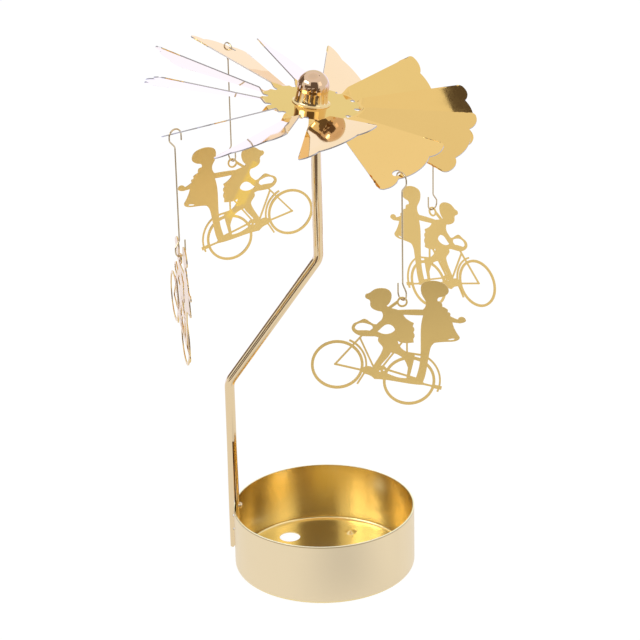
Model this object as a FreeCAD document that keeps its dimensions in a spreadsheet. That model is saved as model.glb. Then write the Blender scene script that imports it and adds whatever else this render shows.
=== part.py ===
import FreeCAD, Part
import math
import os

import Sketcher
from FreeCAD import Placement, Rotation, Vector

# A rotary tealight holder. A drawn tray carries a split tube that clips over its rim and bends
# in to the middle. A wheel of bent blades balances on a needle in the top of the tube, and four
# flat charms hang from wire hooks in the wheel's holes.
# Origin: centre of the tray's underside. Z is up and the needle stands on the Z axis.

doc = FreeCAD.newDocument("rotary_tealight_holder")
sheet = doc.addObject("Spreadsheet::Sheet", "Sizes")

# Driving dimensions in millimetres, angles in degrees, counts as whole numbers
SIZES = [
    # Tray
    ("tray_outer_d", 65.8),
    ("tray_height", 23),
    ("tray_wall", 0.5),
    ("tray_floor", 0.5),
    ("tray_corner", 1.6),
    ("vent_d", 7.7),
    ("vent_circle_r", 22.1),
    ("vent_angle", 6),
    ("vent_count", 3),
    ("pip_base_r", 1.9),
    ("pip_height", 1.1),
    ("pip_slope", 35),
    ("pip_circle_r", 22.4),
    ("pip_angle", 64),
    # Support rod
    ("rod_outer_d", 3.6),
    ("rod_wall", 0.4),
    ("rod_end_height", 7),
    ("rod_low_bend_height", 71),
    ("rod_high_bend_height", 121),
    ("rod_bend_r", 6),
    ("rod_top_height", 180),
    ("slit_height", 50),
    ("clip_fit", 0.07),
    ("detent_r", 0.9),
    ("detent_rise", 0.8),
    ("grip_notch_r", 0.45),
    ("grip_notch_spacing", 5.5),
    # Needle pin
    ("needle_rise", 4.5),
    ("needle_tip_r", 0.15),
    ("needle_seat_depth", 8),
    # Rotor: the wheel, its cap and the bearing cup tilt together about the needle's tip
    ("rotor_tip_rise", 9.2),
    ("rotor_tilt_x", 2.6),
    ("rotor_tilt_y", 8.3),
    ("bearing_gap", 0.05),
    # Wheel
    ("sheet_thickness", 0.3),
    ("disc_r", 15.3),
    ("neck_flat", 0.6),
    ("neck_length", 3.1),
    ("neck_half_width", 3.1),
    ("blade_count", 12),
    ("blade_first_angle", 8.4),
    ("blade_pitch", 27),
    ("blade_tip_r", 56.8),
    ("blade_root_half_width", 3.9),
    ("blade_tip_half_width", 13.35),
    ("charm_hole_d", 2.8),
    ("charm_hole_inset", 4.7),
    ("charm_hole_offset", 5.4),
    # Cap
    ("cap_wall", 0.4),
    ("cap_dome_r", 5.5),
    ("cap_dome_rise", 6),
    ("cap_skirt_r", 6),
    ("cap_flange_r", 6.6),
    ("cap_neck_r", 4.6),
    ("cap_flare_r", 5.6),
    ("cap_fit", 0.05),
    # Bearing cup
    ("cup_r", 2.5),
    ("cup_depth", 1.4),
    ("cup_mouth_r", 1.9),
    ("cup_pit_r", 0.3),
    # Wire hooks
    ("wire_d", 0.56),
    ("hook_length", 42.6),
    ("hook_loop_r", 2.5),
    ("hook_loop_drop", 1.0),
    ("hook_free_end", 1.8),
    ("hook_shank_offset", 0.3),
    ("hook_swan_height", 3.6),
    ("hook_u_r", 2.1),
    ("hook_u_leg", 3.2),
    ("hook_bend_r", 1.2),
    # Charms
    ("charm_thickness", 0.4),
    ("charm_wheelbase", 24.8),
    ("charm_wheel_r", 8.8),
    ("charm_rim_width", 0.95),
    ("charm_tube_width", 0.6),
    ("charm_guard_gap", 0.55),
    ("charm_guard_width", 0.65),
    ("charm_ring_r", 1.8),
    ("charm_ring_hole_r", 1.2),
    ("charm_hang_tilt", 15.3),
    ("charm_seat_gap", 0.15),
]

# How each blade was bent by hand away from the even wheel, in degrees from blade 0 on
BLADE_TURNS = [0.0, 2.5, 6.0, 0.8, 0.0, 0.0, 0.0, 4.0, 0.0, 0.0, 0.0, 0.0]
BLADE_DROOPS = [0.9, 4.0, 8.2, 5.2, -3.9, -5.5, -6.2, 2.5, -1.4, -9.9, 3.8, 1.0]
BLADE_TWISTS = [0.5, 16.0, 10.9, 3.6, -7.7, 3.6, -1.8, 1.6, 4.2, 0.3, 0.6, 3.2]

# Blades that carry a hook, how much longer than the rest each hook was bent in millimetres, and the
# plan direction in degrees in which each charm's front wheel points
CHARM_BLADES = [10, 1, 4, 7]
HOOK_TRIMS = [0.0, -3.0, 0.0, 0.0]
CHARM_DIRECTIONS = [180, -46, 20, 101]


def fill_sheet():
    """Write each driving dimension as a plain number with an alias."""
    rows = list(SIZES)
    rows += [("blade_turn_%d" % i, angle) for i, angle in enumerate(BLADE_TURNS)]
    rows += [("blade_droop_%d" % i, angle) for i, angle in enumerate(BLADE_DROOPS)]
    rows += [("blade_twist_%d" % i, angle) for i, angle in enumerate(BLADE_TWISTS)]
    rows += [("hook_trim_%d" % order, trim) for order, trim in enumerate(HOOK_TRIMS, start=1)]
    for row, (name, number) in enumerate(rows, start=1):
        sheet.set("A%d" % row, name)
        sheet.set("B%d" % row, str(number))
        sheet.setAlias("B%d" % row, name)
    doc.recompute()


def size(name):
    """The number in the sheet under this name."""
    return float(sheet.get(name))


def new_body(label):
    """A body whose label names its file."""
    body = doc.addObject("PartDesign::Body", label)
    body.Label = label
    return body


def new_sketch(body, name, role):
    """A sketch on one of the body's own origin planes."""
    sketch = body.newObject("Sketcher::SketchObject", name)
    plane = [f for f in body.Origin.OriginFeatures if f.Role == role][0]
    sketch.AttachmentSupport = [(plane, "")]
    sketch.MapMode = "FlatFace"
    return sketch


def number(owner, expression):
    """What an expression in the sheet's names comes to."""
    return float(owner.evalExpression(expression))


def bind(sketch, kind, ends, expression):
    """Add a dimension constraint and tie it to an expression."""
    index = sketch.addConstraint(Sketcher.Constraint(kind, *ends, number(sketch, expression)))
    sketch.setExpression("Constraints[%d]" % index, expression)


def bind_point(sketch, curve, end, across, up):
    """Tie a point of a sketch to its distances from the origin; an empty expression is on the axis."""
    for kind, axis, expression in (("DistanceX", -2, across), ("DistanceY", -1, up)):
        if expression:
            bind(sketch, kind, (-1, 1, curve, end), expression)
        else:
            sketch.addConstraint(Sketcher.Constraint("PointOnObject", curve, end, axis))


def bound_polygon(body, name, role, corners):
    """A closed outline of straight lines whose corners are tied to the sheet."""
    sketch = new_sketch(body, name, role)
    points = [Vector(number(sketch, x) if x else 0, number(sketch, y) if y else 0, 0) for x, y in corners]
    count = len(points)
    for i in range(count):
        sketch.addGeometry(Part.LineSegment(points[i], points[(i + 1) % count]), False)
    for i in range(count):
        sketch.addConstraint(Sketcher.Constraint("Coincident", i, 2, (i + 1) % count, 1))
    for i, (x, y) in enumerate(corners):
        bind_point(sketch, i, 1, x, y)
    return sketch


def bound_circle(sketch, across, up, radius):
    """A circle tied to the sheet, drawn in a sketch that exists."""
    centre = Vector(number(sketch, across) if across else 0, number(sketch, up) if up else 0, 0)
    index = sketch.addGeometry(Part.Circle(centre, Vector(0, 0, 1), number(sketch, radius)), False)
    bind_point(sketch, index, 3, across, up)
    bind(sketch, "Radius", (index,), radius)


def revolve(body, name, corners):
    """A body of revolution about Z from an outline in radius and height."""
    sketch = bound_polygon(body, name + "_outline", "XZ_Plane", corners)
    turned = body.newObject("PartDesign::Revolution", name)
    turned.Profile = sketch
    turned.ReferenceAxis = (sketch, ["V_Axis"])
    turned.Angle = 360
    doc.recompute()
    return turned


def repeat_round(body, name, features, count):
    """Copies of features at equal angles about Z."""
    pattern = body.newObject("PartDesign::PolarPattern", name)
    pattern.Originals = features
    axis = [f for f in body.Origin.OriginFeatures if f.Role == "Z_Axis"][0]
    pattern.Axis = (axis, [""])
    pattern.Angle = 360
    pattern.setExpression("Occurrences", count)
    body.Tip = pattern
    doc.recompute()
    return pattern


def cut_changes(feature, before):
    """Stop where a cut took nothing away."""
    doc.recompute()
    if not feature.Shape.Volume < before:
        raise RuntimeError(feature.Name + " cut nothing")


def round_edges(body, name, turned, radii):
    """Fillet the circular edges of a turned feature at each radius and height, in the sheet's names."""
    base = turned
    for i, (across, up, radius) in enumerate(radii):
        edges = []
        for j, edge in enumerate(base.Shape.Edges, start=1):
            if not isinstance(edge.Curve, Part.Circle):
                continue
            near = abs(edge.Curve.Radius - number(base, across)) < edge.Curve.Radius * 1e-6
            level = abs(edge.Curve.Center.z - (number(base, up) if up else 0)) < edge.Curve.Radius * 1e-6
            if near and level:
                edges.append("Edge%d" % j)
        fillet = body.newObject("PartDesign::Fillet", "%s_%d" % (name, i))
        fillet.Base = (base, edges)
        fillet.setExpression("Radius", radius)
        doc.recompute()
        base = fillet
    return base


# Tray: a drawn cup with three air holes and three raised pips that centre the tealight
def make_tray():
    body = new_body("tray")
    outer = "Sizes.tray_outer_d / 2"
    inner = "Sizes.tray_outer_d / 2 - Sizes.tray_wall"
    cup = revolve(body, "cup", [
        ("", ""),
        (outer, ""),
        (outer, "Sizes.tray_height"),
        (inner, "Sizes.tray_height"),
        (inner, "Sizes.tray_floor"),
        ("", "Sizes.tray_floor"),
    ])
    cup = round_edges(body, "corner", cup, [
        (outer, "", "Sizes.tray_corner"),
        (inner, "Sizes.tray_floor", "Sizes.tray_corner - Sizes.tray_wall"),
    ])
    hole_sketch = new_sketch(body, "vent_outline", "XY_Plane")
    bound_circle(
        hole_sketch,
        "Sizes.vent_circle_r * cos(Sizes.vent_angle)",
        "Sizes.vent_circle_r * sin(Sizes.vent_angle)",
        "Sizes.vent_d / 2",
    )
    hole = body.newObject("PartDesign::Pocket", "vent")
    hole.Profile = hole_sketch
    hole.Midplane = True
    hole.setExpression("Length", "Sizes.tray_height")
    cut_changes(hole, cup.Shape.Volume)
    repeat_round(body, "vents", [hole], "Sizes.vent_count")
    place = ("Sizes.pip_circle_r * cos(Sizes.pip_angle)", "Sizes.pip_circle_r * sin(Sizes.pip_angle)")
    rise_sketch = new_sketch(body, "pip_outline", "XY_Plane")
    bound_circle(rise_sketch, place[0], place[1], "Sizes.pip_base_r")
    rise_sketch.AttachmentOffset = Placement(Vector(0, 0, size("tray_floor")), Rotation())
    rise_sketch.setExpression("AttachmentOffset.Base.z", "Sizes.tray_floor")
    rise = body.newObject("PartDesign::Pad", "pip")
    rise.Profile = rise_sketch
    rise.setExpression("Length", "Sizes.pip_height")
    rise.setExpression("TaperAngle", "-Sizes.pip_slope")
    doc.recompute()
    repeat_round(body, "pips", [rise], "Sizes.vent_count")
    dent_sketch = new_sketch(body, "dent_outline", "XY_Plane")
    bound_circle(dent_sketch, place[0], place[1], "Sizes.pip_base_r - Sizes.tray_floor / 2")
    dent = body.newObject("PartDesign::Pocket", "dent")
    dent.Profile = dent_sketch
    dent.Reversed = True
    dent.setExpression("Length", "Sizes.pip_height")
    dent.setExpression("TaperAngle", "-Sizes.pip_slope")
    before = body.Shape.Volume
    cut_changes(dent, before)
    repeat_round(body, "dents", [dent], "Sizes.vent_count")
    return body


# Support rod: one bent tube, sawn into two prongs that hold the tray's wall between them
def make_rod():
    body = new_body("support_rod")
    wall_middle = "(Sizes.tray_outer_d - Sizes.tray_wall) / 2"
    path = new_sketch(body, "rod_path", "XZ_Plane")
    low_x = -number(path, wall_middle)
    radius = size("rod_bend_r")
    low_z = size("rod_low_bend_height")
    high_z = size("rod_high_bend_height")
    # Both bends turn by the same angle: the run between them leaves one arc and meets the other
    across = -low_x
    rise = high_z - low_z
    turn = bend_angle(across, rise, radius)
    low_start = Vector(low_x, low_z, 0)
    high_end = Vector(0, high_z, 0)
    low_centre = Vector(low_x + radius, low_z, 0)
    high_centre = Vector(-radius, high_z, 0)
    low_end = low_centre + Vector(-radius * math.cos(turn), radius * math.sin(turn), 0)
    high_start = high_centre + Vector(radius * math.cos(turn), -radius * math.sin(turn), 0)
    low_middle = arc_middle(low_centre, low_start, low_end)
    high_middle = arc_middle(high_centre, high_start, high_end)
    foot = Vector(low_x, size("rod_end_height"), 0)
    top = Vector(0, size("rod_top_height"), 0)
    path.addGeometry(Part.LineSegment(foot, low_start), False)
    path.addGeometry(Part.Arc(low_start, low_middle, low_end), False)
    path.addGeometry(Part.LineSegment(low_end, high_start), False)
    path.addGeometry(Part.Arc(high_start, high_middle, high_end), False)
    path.addGeometry(Part.LineSegment(high_end, top), False)
    # An arc that runs clockwise is kept the other way round, so its ends are found by where they lie
    for first, second in ((0, 1), (1, 2), (2, 3), (3, 4)):
        ends = shared_ends(path, first, second)
        path.addConstraint(Sketcher.Constraint("Tangent", first, ends[0], second, ends[1]))
    path.addConstraint(Sketcher.Constraint("Vertical", 0))
    path.addConstraint(Sketcher.Constraint("Vertical", 4))
    path.addConstraint(Sketcher.Constraint("PointOnObject", 4, 2, -2))
    bind(path, "DistanceX", (0, 1, -1, 1), wall_middle)
    bind(path, "DistanceY", (-1, 1, 0, 1), "Sizes.rod_end_height")
    bind(path, "DistanceY", (-1, 1, 0, 2), "Sizes.rod_low_bend_height")
    bind(path, "DistanceY", (-1, 1, 4, 1), "Sizes.rod_high_bend_height")
    bind(path, "DistanceY", (-1, 1, 4, 2), "Sizes.rod_top_height")
    bind(path, "Radius", (1,), "Sizes.rod_bend_r")
    bind(path, "Radius", (3,), "Sizes.rod_bend_r")
    ring = new_sketch(body, "rod_section", "XY_Plane")
    ring.setExpression("AttachmentOffset.Base.x", "-" + wall_middle)
    ring.setExpression("AttachmentOffset.Base.z", "Sizes.rod_end_height")
    bound_circle(ring, "", "", "Sizes.rod_outer_d / 2")
    bound_circle(ring, "", "", "Sizes.rod_outer_d / 2 - Sizes.rod_wall")
    doc.recompute()
    tube = body.newObject("PartDesign::AdditivePipe", "rod_tube")
    tube.Profile = ring
    tube.Spine = path
    doc.recompute()
    slit_outer = "-" + wall_middle + " - Sizes.tray_wall / 2 - Sizes.clip_fit"
    slit_inner = "-" + wall_middle + " + Sizes.tray_wall / 2 + Sizes.clip_fit"
    slit_sketch = bound_polygon(body, "slit_outline", "XZ_Plane", [
        (slit_outer, ""),
        (slit_inner, ""),
        (slit_inner, "Sizes.slit_height"),
        (slit_outer, "Sizes.slit_height"),
    ])
    slit = body.newObject("PartDesign::Pocket", "slit")
    slit.Profile = slit_sketch
    slit.Midplane = True
    slit.setExpression("Length", "Sizes.rod_outer_d * 2")
    cut_changes(slit, tube.Shape.Volume)
    before = body.Shape.Volume
    notch_sketch = new_sketch(body, "notch_outline", "XZ_Plane")
    first_notch = "Sizes.tray_height - Sizes.grip_notch_spacing / 2"
    for height in (first_notch, first_notch + " - Sizes.grip_notch_spacing"):
        bound_circle(notch_sketch, slit_outer, height, "Sizes.grip_notch_r")
    notch = body.newObject("PartDesign::Pocket", "notches")
    notch.Profile = notch_sketch
    notch.Midplane = True
    notch.setExpression("Length", "Sizes.rod_outer_d * 2")
    cut_changes(notch, before)
    button = body.newObject("PartDesign::AdditiveSphere", "detent")
    prong_middle = "-" + wall_middle + " + Sizes.rod_outer_d / 2 - Sizes.rod_wall / 2"
    button.setExpression("Radius", "Sizes.detent_r")
    button.setExpression("Placement.Base.x", prong_middle)
    button.setExpression("Placement.Base.z", "Sizes.tray_height + Sizes.detent_rise")
    doc.recompute()
    return body


def bend_angle(across, rise, radius):
    """The turn of two equal arcs joined by a straight tangent run over this width and height.

    A run at angle a from the vertical fits when
    (across - 2 r (1 - cos a)) cos a = (rise - 2 r sin a) sin a.
    """
    low, high = 0.0, math.pi / 2
    for step in range(60):
        a = (low + high) / 2
        left = (across - 2 * radius * (1 - math.cos(a))) * math.cos(a)
        right = (rise - 2 * radius * math.sin(a)) * math.sin(a)
        if left > right:
            low = a
        else:
            high = a
    return (low + high) / 2


def arc_middle(centre, start, end):
    """The point of the short arc halfway between its ends."""
    out = (start - centre) + (end - centre)
    out.normalize()
    return centre + out * (start - centre).Length


def shared_ends(sketch, first, second):
    """Which ends of two curves of a sketch lie on one point."""
    pairs = [(a, b) for a in (1, 2) for b in (1, 2)]
    return min(pairs, key=lambda p: (sketch.getPoint(first, p[0]) - sketch.getPoint(second, p[1])).Length)


# Needle pin: fills the tube's bore and ends in a point
def make_needle():
    body = new_body("needle_pin")
    bore = "Sizes.rod_outer_d / 2 - Sizes.rod_wall"
    bottom = "Sizes.rod_top_height - Sizes.needle_seat_depth"
    tip = "Sizes.rod_top_height + Sizes.needle_rise"
    revolve(body, "pin", [
        ("", bottom),
        (bore, bottom),
        (bore, "Sizes.rod_top_height"),
        ("Sizes.needle_tip_r", tip),
        ("", tip),
    ])
    return body


def rotor_placement():
    """Where the tilted rotor sits: its own origin is the middle of the wheel's disc.

    The tilt turns about the needle's tip, so the origin is the tip less the rise along the tilted axis.
    """
    tilt_y = Rotation(Vector(0, 1, 0), size("rotor_tilt_y"))
    tilt_x = Rotation(Vector(1, 0, 0), size("rotor_tilt_x"))
    turn = tilt_y.multiply(tilt_x)
    tip = Vector(0, 0, size("rod_top_height") + size("needle_rise"))
    return Placement(tip - turn.multVec(Vector(0, 0, size("rotor_tip_rise"))), turn)


def blade_placement(index):
    """The plane of a blade in the rotor's frame.

    Its origin is on the disc's edge. X runs outward, turned sideways by the blade's turn and down
    by its droop, and Y is turned about X by the pitch.
    """
    azimuth = size("blade_first_angle") + 360 / size("blade_count") * index
    droop = size("blade_droop_%d" % (index % len(BLADE_DROOPS)))
    pitch = size("blade_pitch") + size("blade_twist_%d" % (index % len(BLADE_TWISTS)))
    turn = Rotation(Vector(0, 0, 1), azimuth + size("blade_turn_%d" % (index % len(BLADE_TURNS))))
    turn = turn.multiply(Rotation(Vector(0, 1, 0), droop))
    turn = turn.multiply(Rotation(Vector(1, 0, 0), pitch))
    edge = Rotation(Vector(0, 0, 1), azimuth).multVec(Vector(size("disc_r"), 0, 0))
    return Placement(edge, turn)


def neck_placement(index):
    """The flat frame at the disc's edge from which a blade's neck starts."""
    turn = Rotation(Vector(0, 0, 1), size("blade_first_angle") + 360 / size("blade_count") * index)
    return Placement(turn.multVec(Vector(size("disc_r"), 0, 0)), turn)


# Half outline of a blade beyond its straight side: shares of the blade's length and half width
BLADE_SIDE_SHARE = (0.884, 1.0)
BLADE_CORNER_SHARE = (0.938, 0.992)
BLADE_SHOULDER_SHARE = (0.957, 0.92)
BLADE_LOBE_SHARE = (0.976, 0.735)
BLADE_NOTCH_SHARE = (0.948, 0.5)


def blade_point(share, side):
    """A point of a blade's outline in its own plane."""
    length = size("blade_tip_r") - size("disc_r")
    return Vector(share[0] * length, side * share[1] * size("blade_tip_half_width"), 0)


def blade_face():
    """The flat blade with its scalloped outer edge."""
    half = {}
    for side in (1, -1):
        root = Vector(size("neck_length"), side * size("blade_root_half_width"), 0)
        corner = blade_point(BLADE_SIDE_SHARE, side)
        shoulder = blade_point(BLADE_SHOULDER_SHARE, side)
        notch = blade_point(BLADE_NOTCH_SHARE, side)
        half[side] = [
            Part.LineSegment(root, corner).toShape(),
            Part.Arc(corner, blade_point(BLADE_CORNER_SHARE, side), shoulder).toShape(),
            Part.Arc(shoulder, blade_point(BLADE_LOBE_SHARE, side), notch).toShape(),
        ]
    tip = Vector(size("blade_tip_r") - size("disc_r"), 0, 0)
    crown = Part.Arc(blade_point(BLADE_NOTCH_SHARE, 1), tip, blade_point(BLADE_NOTCH_SHARE, -1)).toShape()
    root_line = Part.LineSegment(
        Vector(size("neck_length"), -size("blade_root_half_width"), 0),
        Vector(size("neck_length"), size("blade_root_half_width"), 0),
    ).toShape()
    edges = half[1] + [crown] + half[-1] + [root_line]
    return Part.Face(Part.Wire(Part.__sortEdges__(edges)))


def strip_section(place, along, half_width):
    """A thin rectangle across a blade or neck, at a distance along its plane."""
    half = size("sheet_thickness") / 2
    corners = [(half_width, half), (-half_width, half), (-half_width, -half), (half_width, -half)]
    points = [place.multVec(Vector(along, y, z)) for y, z in corners]
    return Part.makePolygon(points + points[:1])


# Wheel: one sheet, a disc with a twisted neck to each bent blade
def make_wheel():
    wheel = doc.addObject("Part::Feature", "wheel")
    thickness = size("sheet_thickness")
    low = Vector(0, 0, -thickness / 2)
    disc = Part.makeCylinder(size("disc_r"), thickness, low)
    hole = Part.makeCylinder(size("cap_neck_r") + size("cap_fit"), thickness, low)
    pieces = []
    for index in range(int(size("blade_count"))):
        place = blade_placement(index)
        blade = blade_face().extrude(Vector(0, 0, thickness))
        blade.translate(low)
        if index in CHARM_BLADES:
            bore = Part.makeCylinder(size("charm_hole_d") / 2, thickness, low + charm_hole_point())
            blade = blade.cut(bore)
        blade.Placement = place.multiply(blade.Placement)
        # A flat tab carries the disc's sheet out to where the neck begins to twist
        tab_width = size("neck_half_width") * 2
        tab_length = size("neck_flat") + tab_width
        tab_corner = Vector(-tab_width, -tab_width / 2, -thickness / 2)
        tab = Part.makeBox(tab_length, tab_width, thickness, tab_corner)
        tab.Placement = neck_placement(index).multiply(tab.Placement)
        start = strip_section(neck_placement(index), size("neck_flat"), size("neck_half_width"))
        end = strip_section(place, size("neck_length"), size("blade_root_half_width"))
        pieces += [tab, Part.makeLoft([start, end], True, True), blade]
    wheel.Shape = disc.cut(hole).fuse(pieces).removeSplitter()
    wheel.Placement = rotor_placement()
    return wheel


def charm_hole_point():
    """The charm hole's centre in its blade's plane."""
    along = size("blade_tip_r") - size("disc_r") - size("charm_hole_inset")
    return Vector(along, -size("charm_hole_offset"), 0)


def part_object(kind, name, expressions):
    """A Part primitive whose sizes are tied to the sheet."""
    made = doc.addObject(kind, name)
    for key, expression in expressions.items():
        made.setExpression(key, expression)
    return made


def fused(name, members):
    made = doc.addObject("Part::MultiFuse", name)
    made.Shapes = members
    return made


# Cap: a pressed dome on a skirt and flange, with a neck through the wheel flared over below it
def make_cap():
    disc_top = "Sizes.sheet_thickness / 2"
    flange_top = disc_top + " + Sizes.cap_wall"
    dome_z = disc_top + " + Sizes.cap_dome_rise"
    below = "-Sizes.sheet_thickness / 2 - Sizes.cap_wall"
    outer = fused("cap_outside", [
        part_object("Part::Sphere", "dome_out", {"Radius": "Sizes.cap_dome_r", "Placement.Base.z": dome_z}),
        part_object("Part::Cone", "skirt_out", {
            "Radius1": "Sizes.cap_skirt_r",
            "Radius2": "Sizes.cap_dome_r",
            "Height": "Sizes.cap_dome_rise",
            "Placement.Base.z": disc_top,
        }),
        part_object("Part::Cylinder", "flange", {
            "Radius": "Sizes.cap_flange_r",
            "Height": "Sizes.cap_wall",
            "Placement.Base.z": disc_top,
        }),
        part_object("Part::Cylinder", "neck_out", {
            "Radius": "Sizes.cap_neck_r",
            "Height": "Sizes.sheet_thickness + Sizes.cap_wall",
            "Placement.Base.z": below,
        }),
        part_object("Part::Cylinder", "flare", {
            "Radius": "Sizes.cap_flare_r",
            "Height": "Sizes.cap_wall",
            "Placement.Base.z": below,
        }),
    ])
    inner = fused("cap_inside", [
        part_object("Part::Sphere", "dome_in", {
            "Radius": "Sizes.cap_dome_r - Sizes.cap_wall",
            "Placement.Base.z": dome_z,
        }),
        part_object("Part::Cone", "skirt_in", {
            "Radius1": "Sizes.cap_neck_r - Sizes.cap_wall",
            "Radius2": "Sizes.cap_dome_r - Sizes.cap_wall",
            "Height": "Sizes.cap_dome_rise - Sizes.cap_wall",
            "Placement.Base.z": flange_top,
        }),
        part_object("Part::Cylinder", "neck_in", {
            "Radius": "Sizes.cap_neck_r - Sizes.cap_wall",
            "Height": "Sizes.sheet_thickness + Sizes.cap_wall * 2",
            "Placement.Base.z": below,
        }),
    ])
    cap = doc.addObject("Part::Cut", "cap")
    cap.Base = outer
    cap.Tool = inner
    cap.Placement = rotor_placement()
    return cap


# Bearing cup: a hard cup in the crown of the dome, turning on the needle's point
def make_bearing_cup():
    body = new_body("bearing_cup")
    dome_z = "Sizes.sheet_thickness / 2 + Sizes.cap_dome_rise"
    inside = "Sizes.cap_dome_r - Sizes.cap_wall"
    top = dome_z + " + sqrt((" + inside + ") ^ 2 - Sizes.cup_r ^ 2) - Sizes.cap_fit"
    apex = "Sizes.rotor_tip_rise + Sizes.bearing_gap"
    revolve(body, "cup_body", [
        ("", apex),
        ("Sizes.cup_pit_r", apex),
        ("Sizes.cup_mouth_r", apex + " - Sizes.cup_depth"),
        ("Sizes.cup_r", apex + " - Sizes.cup_depth"),
        ("Sizes.cup_r", top),
        ("", top),
    ])
    body.Placement = rotor_placement()
    return body


def hook_length(order):
    """From a hook's loop centre down to the middle of its charm's ring."""
    return size("hook_length") + size("hook_trim_%d" % order)


def hook_loop_centre(index):
    """Where a hook's loop is centred: it straddles the sheet between the hole and the blade's edge."""
    along = charm_hole_point() + Vector(size("hook_loop_r"), 0, 0)
    point = rotor_placement().multVec(blade_placement(index).multVec(along))
    return point - Vector(0, 0, size("hook_loop_drop"))


def hook_azimuth(index):
    """The plan direction of a hook's plane, outward along its blade."""
    out = rotor_placement().Rotation.multVec(blade_placement(index).Rotation.multVec(Vector(1, 0, 0)))
    return math.degrees(math.atan2(out.y, out.x))


# How far down its swan neck a hook's wire runs straight before it bends
HOOK_KNEE_SHARE = 1 / 3


def rounded_path(points, radius):
    """Straight runs through points in the XZ plane, each corner an arc no larger than its runs allow."""
    edges = []
    start = points[0]
    for before, corner, after in zip(points, points[1:], points[2:]):
        back = (before - corner).normalize()
        ahead = (after - corner).normalize()
        half = back.getAngle(ahead) / 2
        room = min((before - corner).Length, (after - corner).Length) / 2
        cut = min(radius / math.tan(half), room)
        first = corner + back * cut
        last = corner + ahead * cut
        centre = corner + (back + ahead).normalize() * (cut / math.cos(half))
        reach = (first - centre).Length
        middle = centre + (corner - centre).normalize() * reach
        if (first - start).Length > 1e-6 * reach:
            edges.append(Part.LineSegment(start, first).toShape())
        edges.append(Part.Arc(first, middle, last).toShape())
        start = last
    edges.append(Part.LineSegment(start, points[-1]).toShape())
    return edges


# Wire hook: a loop over the blade's edge, a straight shank and an open hook for the charm's ring
def make_hook(order, index):
    hook = doc.addObject("Part::Feature", "hook_%d" % order)
    loop_r = size("hook_loop_r")
    shank = size("hook_shank_offset")
    hook_u = size("hook_u_r")
    u_height = -hook_length(order) + charm_ring_drop() + hook_u
    free = Vector(-loop_r, 0, -size("hook_free_end"))
    inner = Vector(-loop_r, 0, 0)
    outer = Vector(loop_r, 0, 0)
    edges = [
        Part.LineSegment(free, inner).toShape(),
        Part.Arc(inner, Vector(0, 0, loop_r), outer).toShape(),
    ]
    swan = size("hook_swan_height")
    bends = [
        outer,
        Vector(loop_r, 0, -swan * HOOK_KNEE_SHARE),
        Vector(shank, 0, -swan),
        Vector(shank, 0, u_height + swan),
        Vector(hook_u, 0, u_height + swan * HOOK_KNEE_SHARE),
        Vector(hook_u, 0, u_height),
    ]
    edges += rounded_path(bends, size("hook_bend_r"))
    edges.append(Part.Arc(bends[-1], Vector(0, 0, u_height - hook_u), Vector(-hook_u, 0, u_height)).toShape())
    leg_top = Vector(-hook_u, 0, u_height + size("hook_u_leg"))
    edges.append(Part.LineSegment(Vector(-hook_u, 0, u_height), leg_top).toShape())
    spine = Part.Wire(edges)
    section = Part.Wire(Part.Circle(free, Vector(0, 0, 1), size("wire_d") / 2).toShape())
    hook.Shape = spine.makePipeShell([section], True, True)
    hook.Placement = Placement(hook_loop_centre(index), Rotation(Vector(0, 0, 1), hook_azimuth(index)))
    return hook


def charm_ring_drop():
    """How far the wire's centre line stands over the ring's centre where it carries the ring."""
    return size("charm_ring_hole_r") - size("wire_d") / 2 - size("charm_seat_gap")


# Outlines of the charm: shares of the wheelbase from the rear wheel's hub, across and up, with the
# bicycle level and its front wheel at -1. Each outline is a list of runs; a run of two points is
# straight, a longer one is a smooth curve, and runs meet at a corner.
RING_SHARE = (-0.385, 1.087)
SHOULDER_SHARE = (-0.53, 0.965)
FRONT_HUB_SHARE = (-1.0, 0.0)
CRANK_SHARE = (-0.395, 0.055)

TUBE_SHARES = [
    [(-1.03, 0.0), (-0.79, 0.48)],
    [(-1.03, 0.0), (-0.5, 0.0)],
    [(-0.8, 0.45), (-0.5, 0.06)],
    [(-0.24, 0.52), (-0.4, 0.12)],
    [(-0.18, 0.56), (-0.13, 0.38)],
    [(-0.31, 0.085), (0.14, 0.05)],
    [(-0.13, 0.39), (0.06, 0.405)],
    [(-0.06, 0.35), (0.06, 0.345)],
    [(0.0, 0.0), (0.43, 0.0)],
    [(-0.62, -0.04), (-0.665, -0.2)],
]

CHAIN_BAR_SHARES = [
    [(-0.64, 0.045), (-0.5, 0.065), (-0.3, 0.03), (0.02, 0.055)],
    [(0.02, 0.055), (0.2, 0.02)],
    [(0.2, 0.02), (0.2, -0.012)],
    [(0.2, -0.012), (0.0, -0.04), (-0.25, -0.055), (-0.46, -0.085)],
    [(-0.46, -0.085), (-0.53, -0.05), (-0.63, -0.045)],
    [(-0.63, -0.045), (-0.64, 0.045)],
]

HANDLEBAR_SHARES = [
    [(-0.62, 0.7), (-0.73, 0.705), (-0.81, 0.73), (-0.88, 0.675), (-0.94, 0.62), (-0.945, 0.56), (-0.9, 0.51),
     (-0.82, 0.485), (-0.72, 0.495), (-0.62, 0.52)],
    [(-0.62, 0.52), (-0.62, 0.7)],
]

HANDLEBAR_HOLE_SHARES = [
    [(-0.905, 0.575), (-0.895, 0.625), (-0.82, 0.672), (-0.74, 0.672), (-0.685, 0.655), (-0.675, 0.605),
     (-0.71, 0.575), (-0.79, 0.565), (-0.86, 0.548), (-0.905, 0.575)],
]

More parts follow.
